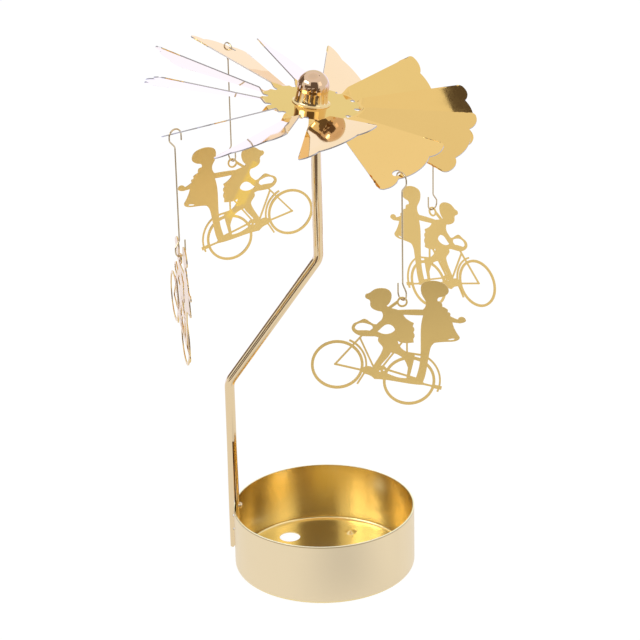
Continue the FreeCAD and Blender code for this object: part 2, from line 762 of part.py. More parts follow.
RIDER_SHARES = [
    [(-0.575, 0.985), (-0.545, 1.04), (-0.54, 1.11), (-0.56, 1.175), (-0.62, 1.215), (-0.71, 1.21),
     (-0.79, 1.17), (-0.83, 1.12), (-0.88, 1.085)],
    [(-0.88, 1.085), (-0.885, 1.045), (-0.85, 1.02)],
    [(-0.85, 1.02), (-0.815, 1.01), (-0.795, 0.965)],
    [(-0.795, 0.965), (-0.765, 0.915), (-0.7, 0.89), (-0.62, 0.89)],
    [(-0.62, 0.89), (-0.59, 0.85), (-0.59, 0.77), (-0.625, 0.71), (-0.66, 0.64), (-0.7, 0.58)],
    [(-0.7, 0.58), (-0.75, 0.575), (-0.8, 0.545), (-0.78, 0.51), (-0.7, 0.505), (-0.62, 0.52),
     (-0.56, 0.515)],
    [(-0.56, 0.515), (-0.55, 0.46), (-0.5, 0.42), (-0.465, 0.375)],
    [(-0.465, 0.375), (-0.475, 0.28), (-0.505, 0.17), (-0.53, 0.07)],
    [(-0.53, 0.07), (-0.59, 0.075), (-0.645, 0.04), (-0.655, -0.01), (-0.6, -0.03)],
    [(-0.6, -0.03), (-0.47, -0.04)],
    [(-0.47, -0.04), (-0.44, 0.04), (-0.425, 0.14), (-0.38, 0.24), (-0.345, 0.345)],
    [(-0.345, 0.345), (-0.24, 0.335), (-0.16, 0.3), (-0.1, 0.235), (-0.065, 0.18)],
    [(-0.065, 0.18), (-0.045, 0.02)],
    [(-0.045, 0.02), (-0.005, 0.02)],
    [(-0.005, 0.02), (-0.01, 0.15), (-0.015, 0.28), (-0.025, 0.385)],
    [(-0.025, 0.385), (-0.1, 0.395), (-0.17, 0.41), (-0.25, 0.46), (-0.3, 0.53)],
    [(-0.3, 0.53), (-0.24, 0.52), (-0.17, 0.53), (-0.085, 0.56)],
    [(-0.085, 0.56), (-0.105, 0.61)],
    [(-0.105, 0.61), (-0.1, 0.66), (-0.13, 0.7)],
    [(-0.13, 0.7), (-0.13, 0.755), (-0.16, 0.78)],
    [(-0.16, 0.78), (-0.155, 0.83)],
    [(-0.155, 0.83), (-0.23, 0.85), (-0.29, 0.88), (-0.335, 0.925), (-0.4, 0.96), (-0.47, 0.965),
     (-0.53, 0.965)],
    [(-0.53, 0.965), (-0.575, 0.985)],
]

ARM_GAP_SHARES = [
    [(-0.6, 0.6), (-0.56, 0.66), (-0.52, 0.715), (-0.47, 0.735), (-0.41, 0.715), (-0.375, 0.67)],
    [(-0.375, 0.67), (-0.43, 0.605), (-0.51, 0.58), (-0.6, 0.6)],
]

STANDING_SHARES = [
    [(-0.09, 1.045), (-0.07, 1.1), (-0.085, 1.17), (-0.14, 1.23), (-0.19, 1.31), (-0.2, 1.39), (-0.16, 1.44)],
    [(-0.16, 1.44), (-0.08, 1.475), (0.0, 1.485), (0.08, 1.475), (0.15, 1.43), (0.175, 1.37), (0.15, 1.32),
     (0.09, 1.28)],
    [(0.09, 1.28), (0.06, 1.25), (0.07, 1.21)],
    [(0.07, 1.21), (0.12, 1.205), (0.15, 1.15)],
    [(0.15, 1.15), (0.2, 1.14), (0.235, 1.125)],
    [(0.235, 1.125), (0.24, 1.09)],
    [(0.24, 1.09), (0.28, 1.08), (0.285, 1.045)],
    [(0.285, 1.045), (0.34, 1.03), (0.4, 1.02)],
    [(0.4, 1.02), (0.43, 1.065), (0.48, 1.065), (0.51, 1.03), (0.48, 0.995), (0.42, 0.975)],
    [(0.42, 0.975), (0.34, 0.965)],
    [(0.34, 0.965), (0.38, 0.9), (0.43, 0.84), (0.49, 0.785)],
    [(0.49, 0.785), (0.495, 0.755), (0.47, 0.725), (0.36, 0.68), (0.26, 0.65), (0.185, 0.62)],
    [(0.185, 0.62), (0.16, 0.57), (0.16, 0.45), (0.175, 0.3), (0.19, 0.15), (0.185, 0.02)],
    [(0.185, 0.02), (0.075, 0.03)],
    [(0.075, 0.03), (0.08, 0.15), (0.07, 0.3), (0.04, 0.45), (0.0, 0.6), (-0.035, 0.73), (-0.06, 0.86),
     (-0.065, 0.97)],
    [(-0.065, 0.97), (-0.2, 0.94), (-0.33, 0.915)],
    [(-0.33, 0.915), (-0.43, 0.955)],
    [(-0.43, 0.955), (-0.33, 0.985), (-0.2, 1.02), (-0.09, 1.045)],
]

HEM_GAP_SHARES = [
    [(0.34, 0.7), (0.38, 0.73), (0.43, 0.745)],
    [(0.43, 0.745), (0.43, 0.725)],
    [(0.43, 0.725), (0.38, 0.705), (0.34, 0.7)],
]

# Mudguards: where each starts and ends round its wheel, in degrees up from the line of the hubs
FRONT_GUARD_ANGLES = (5, 80)
REAR_GUARD_ANGLES = (-9, 68)

# Solid spots of the plate as shares of its tube width, and the reach of the ring's neck as a share
# of the ring's radius
CARRIER_WIDTH_SHARE = 2
CRANK_RADIUS_SHARE = 3
CRANK_HOLE_RADIUS_SHARE = 0.5
RING_NECK_WIDTH_SHARE = 1.6
RING_NECK_REACH_SHARE = 0.7


def plate_point(share):
    """A point of the level charm, measured from the centre of its hanging ring."""
    base = size("charm_wheelbase")
    return Vector((share[0] - RING_SHARE[0]) * base, 0, (share[1] - RING_SHARE[1]) * base)


def outline_face(runs):
    """A flat face inside an outline of straight and smooth runs."""
    edges = []
    for run in runs:
        points = [plate_point(share) for share in run]
        if len(points) == 2:
            edges.append(Part.LineSegment(points[0], points[1]).toShape())
        else:
            curve = Part.BSplineCurve()
            curve.interpolate(points)
            edges.append(curve.toShape())
    return Part.Face(Part.Wire(edges))


def disc_face(centre, radius):
    return Part.Face(Part.Wire(Part.Circle(centre, Vector(0, 1, 0), radius).toShape()))


def band_face(centre, inner, outer, first, last):
    """A band of a ring between two angles, in degrees up from the front-to-rear line."""
    def at(radius, angle):
        turn = math.radians(angle)
        return centre + Vector(radius * math.cos(turn), 0, radius * math.sin(turn))
    middle = (first + last) / 2
    edges = [
        Part.Arc(at(inner, first), at(inner, middle), at(inner, last)).toShape(),
        Part.LineSegment(at(inner, last), at(outer, last)).toShape(),
        Part.Arc(at(outer, last), at(outer, middle), at(outer, first)).toShape(),
        Part.LineSegment(at(outer, first), at(inner, first)).toShape(),
    ]
    return Part.Face(Part.Wire(edges))


def bar_face(start, end, width):
    """A straight bar with square ends half its width past each point."""
    along = (end - start).normalize() * (width / 2)
    across = Vector(-along.z, 0, along.x)
    corners = [start - along + across, end + along + across, end + along - across, start - along - across]
    return Part.Face(Part.makePolygon(corners + corners[:1]))


def charm_plate():
    """The stamped plate, hung at its tilt, with the centre of its ring at the origin."""
    wheel_r = size("charm_wheel_r")
    rim = size("charm_rim_width")
    tube = size("charm_tube_width")
    guard_r = wheel_r + size("charm_guard_gap")
    guard = size("charm_guard_width")
    rear = plate_point((0, 0))
    front = plate_point(FRONT_HUB_SHARE)
    crank = plate_point(CRANK_SHARE)
    ring = Vector(0, 0, 0)
    faces = [disc_face(hub, wheel_r).cut(disc_face(hub, wheel_r - rim)) for hub in (rear, front)]
    rear_guard_r = guard_r + guard
    carrier = (rear + Vector(wheel_r, 0, 0), rear + Vector(rear_guard_r + guard, 0, 0))
    faces.append(band_face(front, guard_r, guard_r + guard, *FRONT_GUARD_ANGLES))
    faces.append(band_face(rear, rear_guard_r, rear_guard_r + guard, *REAR_GUARD_ANGLES))
    faces += [bar_face(plate_point(a), plate_point(b), tube) for a, b in TUBE_SHARES]
    faces.append(bar_face(*carrier, tube * CARRIER_WIDTH_SHARE))
    faces.append(disc_face(crank, tube * CRANK_RADIUS_SHARE))
    faces.append(outline_face(CHAIN_BAR_SHARES))
    faces.append(outline_face(HANDLEBAR_SHARES).cut(outline_face(HANDLEBAR_HOLE_SHARES)))
    faces.append(outline_face(RIDER_SHARES).cut(outline_face(ARM_GAP_SHARES)))
    faces.append(outline_face(STANDING_SHARES).cut(outline_face(HEM_GAP_SHARES)))
    neck_end = Vector(-size("charm_ring_r") * RING_NECK_REACH_SHARE, 0, 0)
    faces.append(bar_face(plate_point(SHOULDER_SHARE), neck_end, tube * RING_NECK_WIDTH_SHARE))
    faces.append(disc_face(ring, size("charm_ring_r")))
    crank_hole_r = tube * CRANK_HOLE_RADIUS_SHARE
    holes = [disc_face(crank + Vector(tube, 0, crank_hole_r), crank_hole_r)]
    holes.append(disc_face(crank - Vector(tube, 0, crank_hole_r), crank_hole_r))
    holes.append(disc_face(ring, size("charm_ring_hole_r")))
    thickness = Vector(0, size("charm_thickness"), 0)
    solids = [face.extrude(thickness) for face in faces]
    plate = solids[0].fuse(solids[1:]).cut([hole.extrude(thickness) for hole in holes])
    plate = plate.removeSplitter()
    plate.translate(thickness * -0.5)
    plate.rotate(Vector(0, 0, 0), Vector(0, 1, 0), size("charm_hang_tilt"))
    return plate


# Charm: a flat stamped plate that hangs by its ring
def make_charm(order, index, plate):
    charm = doc.addObject("Part::Feature", "charm_%d" % order)
    charm.Shape = plate
    ring = hook_loop_centre(index) - Vector(0, 0, hook_length(order))
    turned = Placement(ring, Rotation(Vector(0, 0, 1), CHARM_DIRECTIONS[order - 1] - 180))
    charm.Placement = turned.multiply(plate.Placement)
    return charm


def write_parts(parts):
    """Check every object and each shape, then write one file for each sub-part."""
    doc.recompute()
    for item in doc.Objects:
        if "Invalid" in item.State or "Error" in item.State:
            raise RuntimeError(item.Name + " failed: " + ", ".join(item.State))
    for part in parts:
        shape = part.Shape
        if shape.isNull() or not shape.isValid():
            raise RuntimeError(part.Label + " has no valid shape")
    os.makedirs("parts", exist_ok=True)
    for part in parts:
        part.Shape.exportStep("parts/" + part.Label + ".step")
        box = part.Shape.BoundBox
        print(
            "%-14s solids %d volume %9.2f  x %7.2f %7.2f  y %7.2f %7.2f  z %7.2f %7.2f"
            % (part.Label, len(part.Shape.Solids), part.Shape.Volume,
               box.XMin, box.XMax, box.YMin, box.YMax, box.ZMin, box.ZMax)
        )


fill_sheet()
parts = [make_tray(), make_rod(), make_needle(), make_wheel(), make_cap(), make_bearing_cup()]
plate = charm_plate()
for order, index in enumerate(CHARM_BLADES, start=1):
    parts.append(make_hook(order, index))
    parts.append(make_charm(order, index, plate))
write_parts(parts)
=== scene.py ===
import math

import bmesh
import bpy
import numpy as np
from mathutils import Matrix, Vector


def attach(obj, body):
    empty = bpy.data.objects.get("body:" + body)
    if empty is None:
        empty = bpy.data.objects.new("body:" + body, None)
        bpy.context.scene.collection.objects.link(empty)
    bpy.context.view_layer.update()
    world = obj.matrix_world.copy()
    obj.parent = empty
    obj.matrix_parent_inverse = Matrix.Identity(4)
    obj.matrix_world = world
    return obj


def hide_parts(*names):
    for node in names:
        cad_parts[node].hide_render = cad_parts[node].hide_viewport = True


# A gold rotary tealight holder: a drawn tray, a bent tube clipped over its rim, and a wheel of
# twelve bent blades under a polished cap, with four flat charms on wire hooks.
# Sizes of the holder are in millimetres and degrees; MM turns them into metres where a mesh is
# made. The studio's places and sizes are in metres. Colours are linear red, green and blue.

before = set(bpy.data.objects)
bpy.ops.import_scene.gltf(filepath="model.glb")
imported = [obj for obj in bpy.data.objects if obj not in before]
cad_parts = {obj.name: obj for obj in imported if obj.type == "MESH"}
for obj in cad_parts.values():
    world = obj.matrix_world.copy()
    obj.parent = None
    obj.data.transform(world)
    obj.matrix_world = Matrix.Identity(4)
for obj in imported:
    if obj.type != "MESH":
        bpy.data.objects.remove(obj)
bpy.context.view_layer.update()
scene = bpy.context.scene
scene.view_settings.view_transform = "Standard"

MM = 0.001

# Tray
TRAY_R = 32.65
TRAY_HEIGHT = 23.0
TRAY_SHEET = 0.5
TRAY_CORNER = 1.35
TRAY_EDGE_ROUNDING = 0.11
TRAY_COLUMNS = 120
FLOOR_RINGS = (0, 3, 6, 9, 12, 15, 17, 18, 19, 20, 21, 22, 23, 24, 25, 26, 27, 28, 29, 30)
WALL_TOP_HEIGHTS = (21.6, 22.3, 22.7)
VENT_R = 3.85
VENT_CIRCLE_R = 22.1
VENT_ANGLE = 6.0
PIP_R = 2.5
PIP_HEIGHT = 1.1
PIP_CIRCLE_R = 22.4
PIP_ANGLE = 64.0

# Support rod
ROD_R = 1.8
ROD_BORE_R = 1.4
ROD_FOOT = 7.0
ROD_LOW_BEND = 71.0
ROD_HIGH_BEND = 121.0
ROD_BEND_R = 6.0
ROD_TOP = 180.0
ROD_COLUMNS = 64
SLIT_TOP = 50.0
SLIT_HALF = 0.32
SLIT_TURN = 18.0
SLIT_TURN_LOW = 8.0
SLIT_TURN_EASE = 2.2
PRONG_SPRING = 0.14
PRONG_SPRING_LENGTH = 26.0
PRONG_END_ROUND = 1.3
PRONG_END_REACH = 0.96
NOTCH_R = 0.45
NOTCH_HEIGHTS = (20.25, 14.75)
DETENT_R = 1.1
DETENT_PLACE = (-30.6, -0.35, 23.6)

# Rotor, in its own tilted frame whose origin is the middle of the wheel's disc
ROTOR_TIP = (0.0, 0.0, 184.5)
ROTOR_TIP_RISE = 9.2
ROTOR_TILT_X = 2.6
ROTOR_TILT_Y = 8.3

# Wheel: the sheet that the cap sits on, and the sheet as drawn, with its cut edges a little wider
SHEET = 0.3
SHEET_SHOWN = 0.42
DISC_R = 15.3
DISC_HOLE_R = 4.65
DISC_SLIT_DIP = 0.55
NECK_FLAT = 0.6
NECK_LENGTH = 3.1
NECK_HALF = 3.1
BLADE_COUNT = 12
BLADE_FIRST = 8.4
BLADE_PITCH = 27.0
BLADE_TIP_R = 56.8
BLADE_ROOT_HALF = 3.9
BLADE_TIP_HALF = 13.35
# Side, corner, shoulder, lobe, notch and crown of a blade's end, as shares of its length and half width
BLADE_END = ((0.884, 1.0), (0.938, 0.992), (0.957, 0.92), (0.976, 0.735), (0.948, 0.5), (1.0, 0.0))
CHARM_HOLE_R = 1.4
CHARM_HOLE_PLACE = (36.8, -5.4)
CHARM_HOLE_CLEAR = 2.3
CHARM_BLADES = (10, 1, 4, 7)
BLADE_TURNS = (0.0, 2.5, 6.0, 0.8, 0.0, 0.0, 0.0, 4.0, 0.0, 0.0, 0.0, 0.0)
BLADE_DROOPS = (0.9, 4.0, 8.2, 5.2, -3.9, -5.5, -6.2, 2.5, -1.4, -9.9, 3.8, 1.0)
BLADE_TWISTS = (0.5, 16.0, 10.9, 3.6, -7.7, 3.6, -1.8, 1.6, 4.2, 0.3, 0.6, 3.2)

# Cap, as radius and height over the middle of the disc's sheet
CAP_DOME_R = 5.5
CAP_DOME_Z = 6.15
CAP_WALL = 0.4
CAP_SKIRT = ((5.36, 4.4), (5.42, 3.6), (5.5, 2.6), (5.6, 1.7), (5.72, 1.1), (5.9, 0.75))
CAP_FLANGE_FOOT_R = 6.25
CAP_FLANGE_EDGE_R = 6.42
CAP_NECK_R = 4.6
CAP_FLARE_EDGE_R = 5.45
CAP_BORE_R = 4.2
CAP_INSIDE = ((4.75, 3.0), (5.0, 4.6))

# The band of painted glints on charm 3: its middle, the direction square to its line, and where it starts
# to fade and ends, to the sides and from the middle
GLINT_MIDDLE = (-24.6, 48.6, 131.2)
GLINT_ACROSS = (0.883, 0.0, -0.47)
GLINT_HALF = (1.4, 3.0)
GLINT_REACH = (14.0, 17.0)

# Camera
CAMERA_RISE = 22.701
CAMERA_ROLL = 1.272
CAMERA_PLACE = (0.08, -740.67, 405.67)
CAMERA_LENS = 128.258

# Where the tray's finish changes, and where its painted shade and painted highlights lie: past the middle of
# its wall, and under the height of its rim
TRAY_OUTSIDE = (0.12, 0.2)
TRAY_SHADE_DEPTH = 3.0
TRAY_LIP_PAINTED_LINES_DEPTH = 1.0
TRAY_RIM_HIGHLIGHT_DEPTHS = (0.06, 0.02)
TRAY_OUTSIDE_DULLER = 0.12

# Tones of the finishes, painted light among them. The tray's stops up the outside wall, over the depth of its
# lip, are the champagne, partly painted sheen, then a painted shade line and a painted highlight line
# Painted shade on the inside wall under the rim
TRAY_PAINTED_SHADE_UNDER_RIM = (0.82, 0.65, 0.31)
# Painted highlight along the top of the tray's rim
TRAY_RIM_PAINTED_HIGHLIGHT = (0.98, 0.92, 0.70)
TRAY_OUTSIDE_AND_LIP_PAINTED_LIGHT = (
    (0.45, (0.86, 0.715, 0.48)),
    (0.55, (0.50, 0.37, 0.20)),
    (0.85, (0.50, 0.37, 0.20)),
    (0.93, (0.98, 0.90, 0.66)),
)
CAP_WAIST_HEIGHTS = (177.5, 181.5)
# Painted reflection, a warmer gold, on the cap below its waist
CAP_LOW_PAINTED_REFLECTION = (0.86, 0.65, 0.33)
# Grey painted reflection on the plated cut edges
CUT_EDGE_PAINTED_REFLECTION = (0.55, 0.53, 0.55)
CUT_EDGE_DULLER = 0.45
SPECK = (0.36, 0.27, 0.16)
# Colour of the painted glints on charm 3
PAINTED_GLINT = (1.0, 0.70, 0.18)

# Studio
WHITE = (1.0, 1.0, 1.0)
BROWN = (0.18, 0.145, 0.125)
ROSE = (0.42, 0.34, 0.30)
TIP_CARD = (0.11, 0.09, 0.085)
TIP_CARD_LEVEL = 400.0
TIP_CARD_BLADE_PLACES = ((31.5, 14.0), (38.5, -7.0), (58.0, -7.0), (58.0, 26.0))
# Cards lying over the floor: name, height, corners, colour
FLAT_CARDS = (
    ("card_near", 0.002, ((-0.2, -0.31), (-0.012, -0.31), (-0.015, -0.37), (-0.24, -0.37)), BROWN),
    ("card_low", 0.002, ((-0.24, -0.37), (0.45, -0.42), (1.7, -1.6), (-1.0, -1.6)), BROWN),
    ("card_left", 0.003, ((-0.4, -0.33), (-0.2, -0.31), (-1.0, -1.6), (-1.6, -1.3)), ROSE),
)
# Cards standing between two floor places: name, start, end, low and high edge, colour, strength
UPRIGHT_CARDS = (
    ("card_front", (-0.58, -1.6), (0.28, -1.6), 0.14, 1.65, BROWN, 0.9),
    ("card_right", (0.28, -1.6), (1.14, -1.6), 0.0, 1.65, BROWN, 0.9),
    ("card_corner", (-1.5, -0.73), (-0.58, -1.6), 0.14, 0.66, BROWN, 1.0),
    ("card_back", (-0.68, 1.45), (-1.2, 1.1), 0.3, 1.2, BROWN, 2.4),
    ("card_side", (-1.2, 1.1), (-1.6, 0.05), 0.2, 1.35, BROWN, 1.0),
    ("card_window", (-1.49, -0.21), (-0.96, -1.15), 0.98, 1.4, WHITE, 7.0),
    ("card_bright", (1.11, -1.15), (1.5, -0.62), 0.45, 1.3, WHITE, 1.45),
)
LAMP_PLACE = (0.2, -0.3, 1.2)
LAMP_AIM = (0.0, 0.0, 0.1)
LAMP_SIDE = 0.9
LAMP_POWER = 5.0
# What reflections find: the floor by the tray, darkened there by a painted shade, further off, and behind,
# where a painted bluish glow lies, and the sky's stops by the upward part of a direction, behind the holder
# and everywhere else
FLOOR_MIDDLE = (0.022, -0.07, 0.0)
FLOOR_PAINTED_SHADE_R = 0.06
FLOOR_CLOSE_PAINTED_SHADE = (0.62, 0.63, 0.66)
FLOOR_NEAR = (0.88, 0.88, 0.88)
FLOOR_BEHIND_PAINTED_GLOW = (1.04, 1.12, 1.6)
FLOOR_BEHIND_FROM = (0.05, 0.25)
FLOOR_TO_EYE = (0.95, 0.95, 0.95)
FLOOR_TONE = (0.11, 0.11, 0.11)
SOFT_LIGHT = 0.5
SKY_BEHIND_FROM = (0.7, 0.86)
SKY_BEHIND = (
    (0.03, (1.10, 1.06, 1.10)),
    (0.07, (1.12, 1.17, 1.5)),
    (0.14, (1.12, 1.17, 1.5)),
    (0.2, (1.05, 1.08, 1.2)),
    (0.27, (0.94, 0.97, 0.84)),
    (0.42, (0.90, 0.93, 0.72)),
    (0.6, (0.97, 0.97, 0.98)),
)
SKY_ELSEWHERE = (
    (0.55, (0.96, 0.98, 1.0)),
    (0.8, (1.01, 1.01, 1.08)),
    (0.868, (1.01, 1.01, 1.08)),
    (0.892, (0.96, 0.95, 0.95)),
    (0.93, (0.955, 0.945, 0.95)),
    (0.97, (0.92, 0.92, 0.96)),
)


# Camera at the photograph's viewing angle

def make_camera():
    """A camera above the level of the tray, looking along +Y and turned a little about its own axis."""
    data = bpy.data.cameras.new("camera")
    data.sensor_width = 36.0
    data.lens = CAMERA_LENS
    data.clip_end = 20.0
    camera = bpy.data.objects.new("camera", data)
    tilt = Matrix.Rotation(math.radians(90.0 - CAMERA_RISE), 4, "X")
    roll = Matrix.Rotation(math.radians(-CAMERA_ROLL), 4, "Z")
    camera.matrix_world = Matrix.Translation(Vector(CAMERA_PLACE) * MM) @ tilt @ roll
    scene.collection.objects.link(camera)
    scene.camera = camera


# Grids and meshes

def grid_quads(rows, columns, closed=False):
    """Quads of a grid, row by row; closed, the last column meets the first."""
    i = np.arange(rows - 1)[:, None]
    j = np.arange(columns if closed else columns - 1)[None, :]
    k = (j + 1) % columns
    corners = [i * columns + j, i * columns + k, (i + 1) * columns + k, (i + 1) * columns + j]
    return np.stack(corners, axis=-1).reshape(-1, 4)


def smooth_step(t):
    """3 t squared less 2 t cubed, with t held between 0 and 1."""
    t = np.clip(t, 0.0, 1.0)
    return t * t * (3.0 - 2.0 * t)


def lathe(profile, columns):
    """A profile of radius and height carried round Z: x = r cos a, y = r sin a."""
    profile = np.asarray(profile, float)
    a = np.radians(np.arange(columns) * 360.0 / columns)
    x = profile[:, 0, None] * np.cos(a)
    y = profile[:, 0, None] * np.sin(a)
    z = profile[:, 1, None] + np.zeros_like(x)
    return np.stack([x, y, z], axis=-1).reshape(-1, 3), grid_quads(len(profile), columns, closed=True)


def arc(centre, radius, first, last, count):
    """Points of a circle from one angle to another: centre plus r cos a across and r sin a up."""
    a = np.radians(np.linspace(first, last, count))
    return np.stack([centre[0] + radius * np.cos(a), centre[1] + radius * np.sin(a)], axis=-1)


def pierced_grid(flat, rows, columns, holes, closed=False):
    """A flat grid with round places let into it.

    Each hole clears a block of cells (rows i0 to i1, columns j0 to j1) and joins the block's border
    to a circle by seven rings: ring = circle + (border - circle) times t to the power 1.6. A filled
    place goes on to its centre by circles that shrink evenly.
    """
    index = np.arange(rows * columns).reshape(rows, columns)
    quads = grid_quads(rows, columns, closed)
    keep = np.ones((rows - 1, columns if closed else columns - 1), bool)
    points = [flat]
    faces = []
    total = len(flat)
    for i0, i1, j0, j1, centre, radius, filled in holes:
        js = np.arange(j0, j1 + 1) % columns
        keep[np.ix_(np.arange(i0, i1), np.arange(j0, j1) % columns)] = False
        sides = [index[i0, js[:-1]], index[i0:i1, js[-1]], index[i1, js[:0:-1]], index[i1:i0:-1, js[0]]]
        border = np.concatenate(sides)
        outside = flat[border]
        away = outside - np.array(centre)
        away /= np.linalg.norm(away, axis=1)[:, None]
        inside = np.array(centre) + away * radius
        t = np.linspace(0.0, 1.0, 7)[:, None, None] ** 1.6
        rings = inside + (outside - inside) * t
        if filled:
            shrink = np.linspace(0.0, 1.0, 12)[:-1, None, None]
            rings = np.concatenate([np.array(centre) + (inside - np.array(centre)) * shrink, rings])
        points.append(rings.reshape(-1, 2))
        faces.append(grid_quads(len(rings), len(border), closed=True) + total)
        total += rings.shape[0] * rings.shape[1]
    return np.concatenate(points), np.concatenate([quads[keep.reshape(-1)]] + faces)


def piece_mesh(name, patches):
    """Joins patches of points and quads into one mesh with merged seams and poles and outward faces."""
    starts = np.cumsum([0] + [len(points) for points, quads in patches[:-1]])
    points = np.concatenate([points for points, quads in patches]) * MM
    quads = np.concatenate([patch[1] + start for patch, start in zip(patches, starts)])
    mesh = bpy.data.meshes.new(name)
    mesh.from_pydata(points.tolist(), [], quads.tolist())
    work = bmesh.new()
    work.from_mesh(mesh)
    bmesh.ops.remove_doubles(work, verts=work.verts, dist=2e-6)
    loose = [v for v in work.verts if not v.link_faces]
    bmesh.ops.delete(work, geom=loose, context="VERTS")
    bmesh.ops.recalc_face_normals(work, faces=work.faces)
    work.to_mesh(mesh)
    work.free()
    mesh.shade_smooth()
    return mesh


def add_piece(name, mesh, material, body, node):
    """Puts a mesh into the scene as a piece that rides on its body and stands for a node."""
    piece = bpy.data.objects.new(name, mesh)
    scene.collection.objects.link(piece)
    piece.data.materials.append(material)
    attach(piece, body)
    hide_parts(node)


def thicken(name, mesh, sheet, rounding=0.0, crisp=40.0):
    """Gives a middle surface its sheet's thickness, marks and rounds the cut edges and keeps them crisp."""
    blank = bpy.data.objects.new(name + "_blank", mesh)
    scene.collection.objects.link(blank)
    mesh.materials.append(None)
    mesh.materials.append(None)
    wall = blank.modifiers.new("sheet", "SOLIDIFY")
    wall.thickness = sheet * MM
    wall.offset = 0.0
    wall.material_offset_rim = 1
    if rounding:
        edge = blank.modifiers.new("edge", "BEVEL")
        edge.width = rounding * MM
        edge.segments = 2
        edge.limit_method = "ANGLE"
        edge.angle_limit = math.radians(50.0)
    shaped = blank.evaluated_get(bpy.context.evaluated_depsgraph_get())
    ready = bpy.data.meshes.new_from_object(shaped)
    ready.name = name
    bpy.data.objects.remove(blank)
    rim = np.zeros(len(ready.polygons), np.int32)
    ready.polygons.foreach_get("material_index", rim)
    cut = ready.attributes.new("cut_edge", "FLOAT", "FACE")
    cut.data.foreach_set("value", rim.astype(np.float32))
    ready.polygons.foreach_set("material_index", np.zeros_like(rim))
    ready.materials.clear()
    ready.shade_smooth()
    ready.set_sharp_from_angle(angle=math.radians(crisp))
    return ready


# Shading

class Graph:
    """Puts nodes into a shader tree. Each step returns the output that carries its result."""

    def __init__(self, tree):
        self.nodes, self.links = tree.nodes, tree.links
        self.coordinates = None

    def add(self, kind, **settings):
        """A new node with its settings."""
        node = self.nodes.new("ShaderNode" + kind)
        for name, value in settings.items():
            setattr(node, name, value)
        return node

    def feed(self, slot, value):
        """Links an output to an input, or sets the input to a number, a vector or a colour."""
        if isinstance(value, bpy.types.NodeSocket):
            self.links.new(value, slot)
        elif slot.type == "RGBA":
            slot.default_value = (*value, 1.0)
        else:
            slot.default_value = value

    def place(self):
        """The place of a point in its object's own coordinates."""
        if self.coordinates is None:
            self.coordinates = self.add("TexCoord").outputs["Object"]
        return self.coordinates

    def axis(self, vector, letter):
        """One part of a vector."""
        node = self.add("SeparateXYZ")
        self.links.new(vector, node.inputs["Vector"])
        return node.outputs[letter]

    def noise(self, scale, detail):
        """A noise over the object's own coordinates."""
        node = self.add("TexNoise")
        self.feed(node.inputs["Scale"], scale)
        self.feed(node.inputs["Detail"], detail)
        self.links.new(self.place(), node.inputs["Vector"])
        return node.outputs["Fac"]

    def math(self, operation, *terms):
        """A sum on numbers."""
        node = self.add("Math", operation=operation)
        for slot, term in zip(node.inputs, terms):
            self.feed(slot, term)
        return node.outputs[0]

    def vector(self, operation, result, *terms):
        """A sum on vectors; result names the output, Vector or Value."""
        node = self.add("VectorMath", operation=operation)
        for slot, term in zip(node.inputs, terms):
            self.feed(slot, term)
        return node.outputs[result]

    def remap(self, value, start, end, curve="LINEAR"):
        """0 at the start and 1 at the end, held outside them."""
        node = self.add("MapRange", interpolation_type=curve)
        for name, term in (("Value", value), ("From Min", start), ("From Max", end)):
            self.feed(node.inputs[name], term)
        return node.outputs["Result"]

    def mix(self, factor, at_0, at_1):
        """Two colours mixed by a factor."""
        node = self.add("Mix", data_type="RGBA")
        for name, term in (("Factor", factor), ("A", at_0), ("B", at_1)):
            self.feed(node.inputs[name], term)
        return node.outputs["Result"]

    def ramp(self, value, stops):
        """A colour for a value, in straight lines between stops of position and colour."""
        node = self.add("ValToRGB")
        self.links.new(value, node.inputs["Fac"])
        elements = node.color_ramp.elements
        elements[0].position, elements[1].position = stops[0][0], stops[-1][0]
        for position, colour in stops[1:-1]:
            elements.new(position)
        for element, (position, colour) in zip(elements, stops):
            element.color = (*colour, 1.0)
        return node.outputs["Color"]

    def rays(self, *kinds):
        """1 for the given kinds of ray and 0 for the rest."""
        outputs = self.add("LightPath").outputs
        total = outputs["Is %s Ray" % kinds[0]]
        for kind in kinds[1:]:
            total = self.math("MAXIMUM", total, outputs["Is %s Ray" % kind])
        return total


def effect_group(name, inputs, outputs):
    """A shader group with its sockets, its graph, and the sockets inside it to read and to write."""
    group = bpy.data.node_groups.new(name, "ShaderNodeTree")
    for socket, kind, value in inputs:
        given = group.interface.new_socket(name=socket, in_out="INPUT", socket_type=kind)
        given.default_value = value
    for socket, kind in outputs:
        group.interface.new_socket(name=socket, in_out="OUTPUT", socket_type=kind)
    graph = Graph(group)
    given = graph.nodes.new("NodeGroupInput").outputs
    out = graph.nodes.new("NodeGroupOutput").inputs
    return group, graph, given, out


NUMBER = "NodeSocketFloat"
COLOUR = "NodeSocketColor"


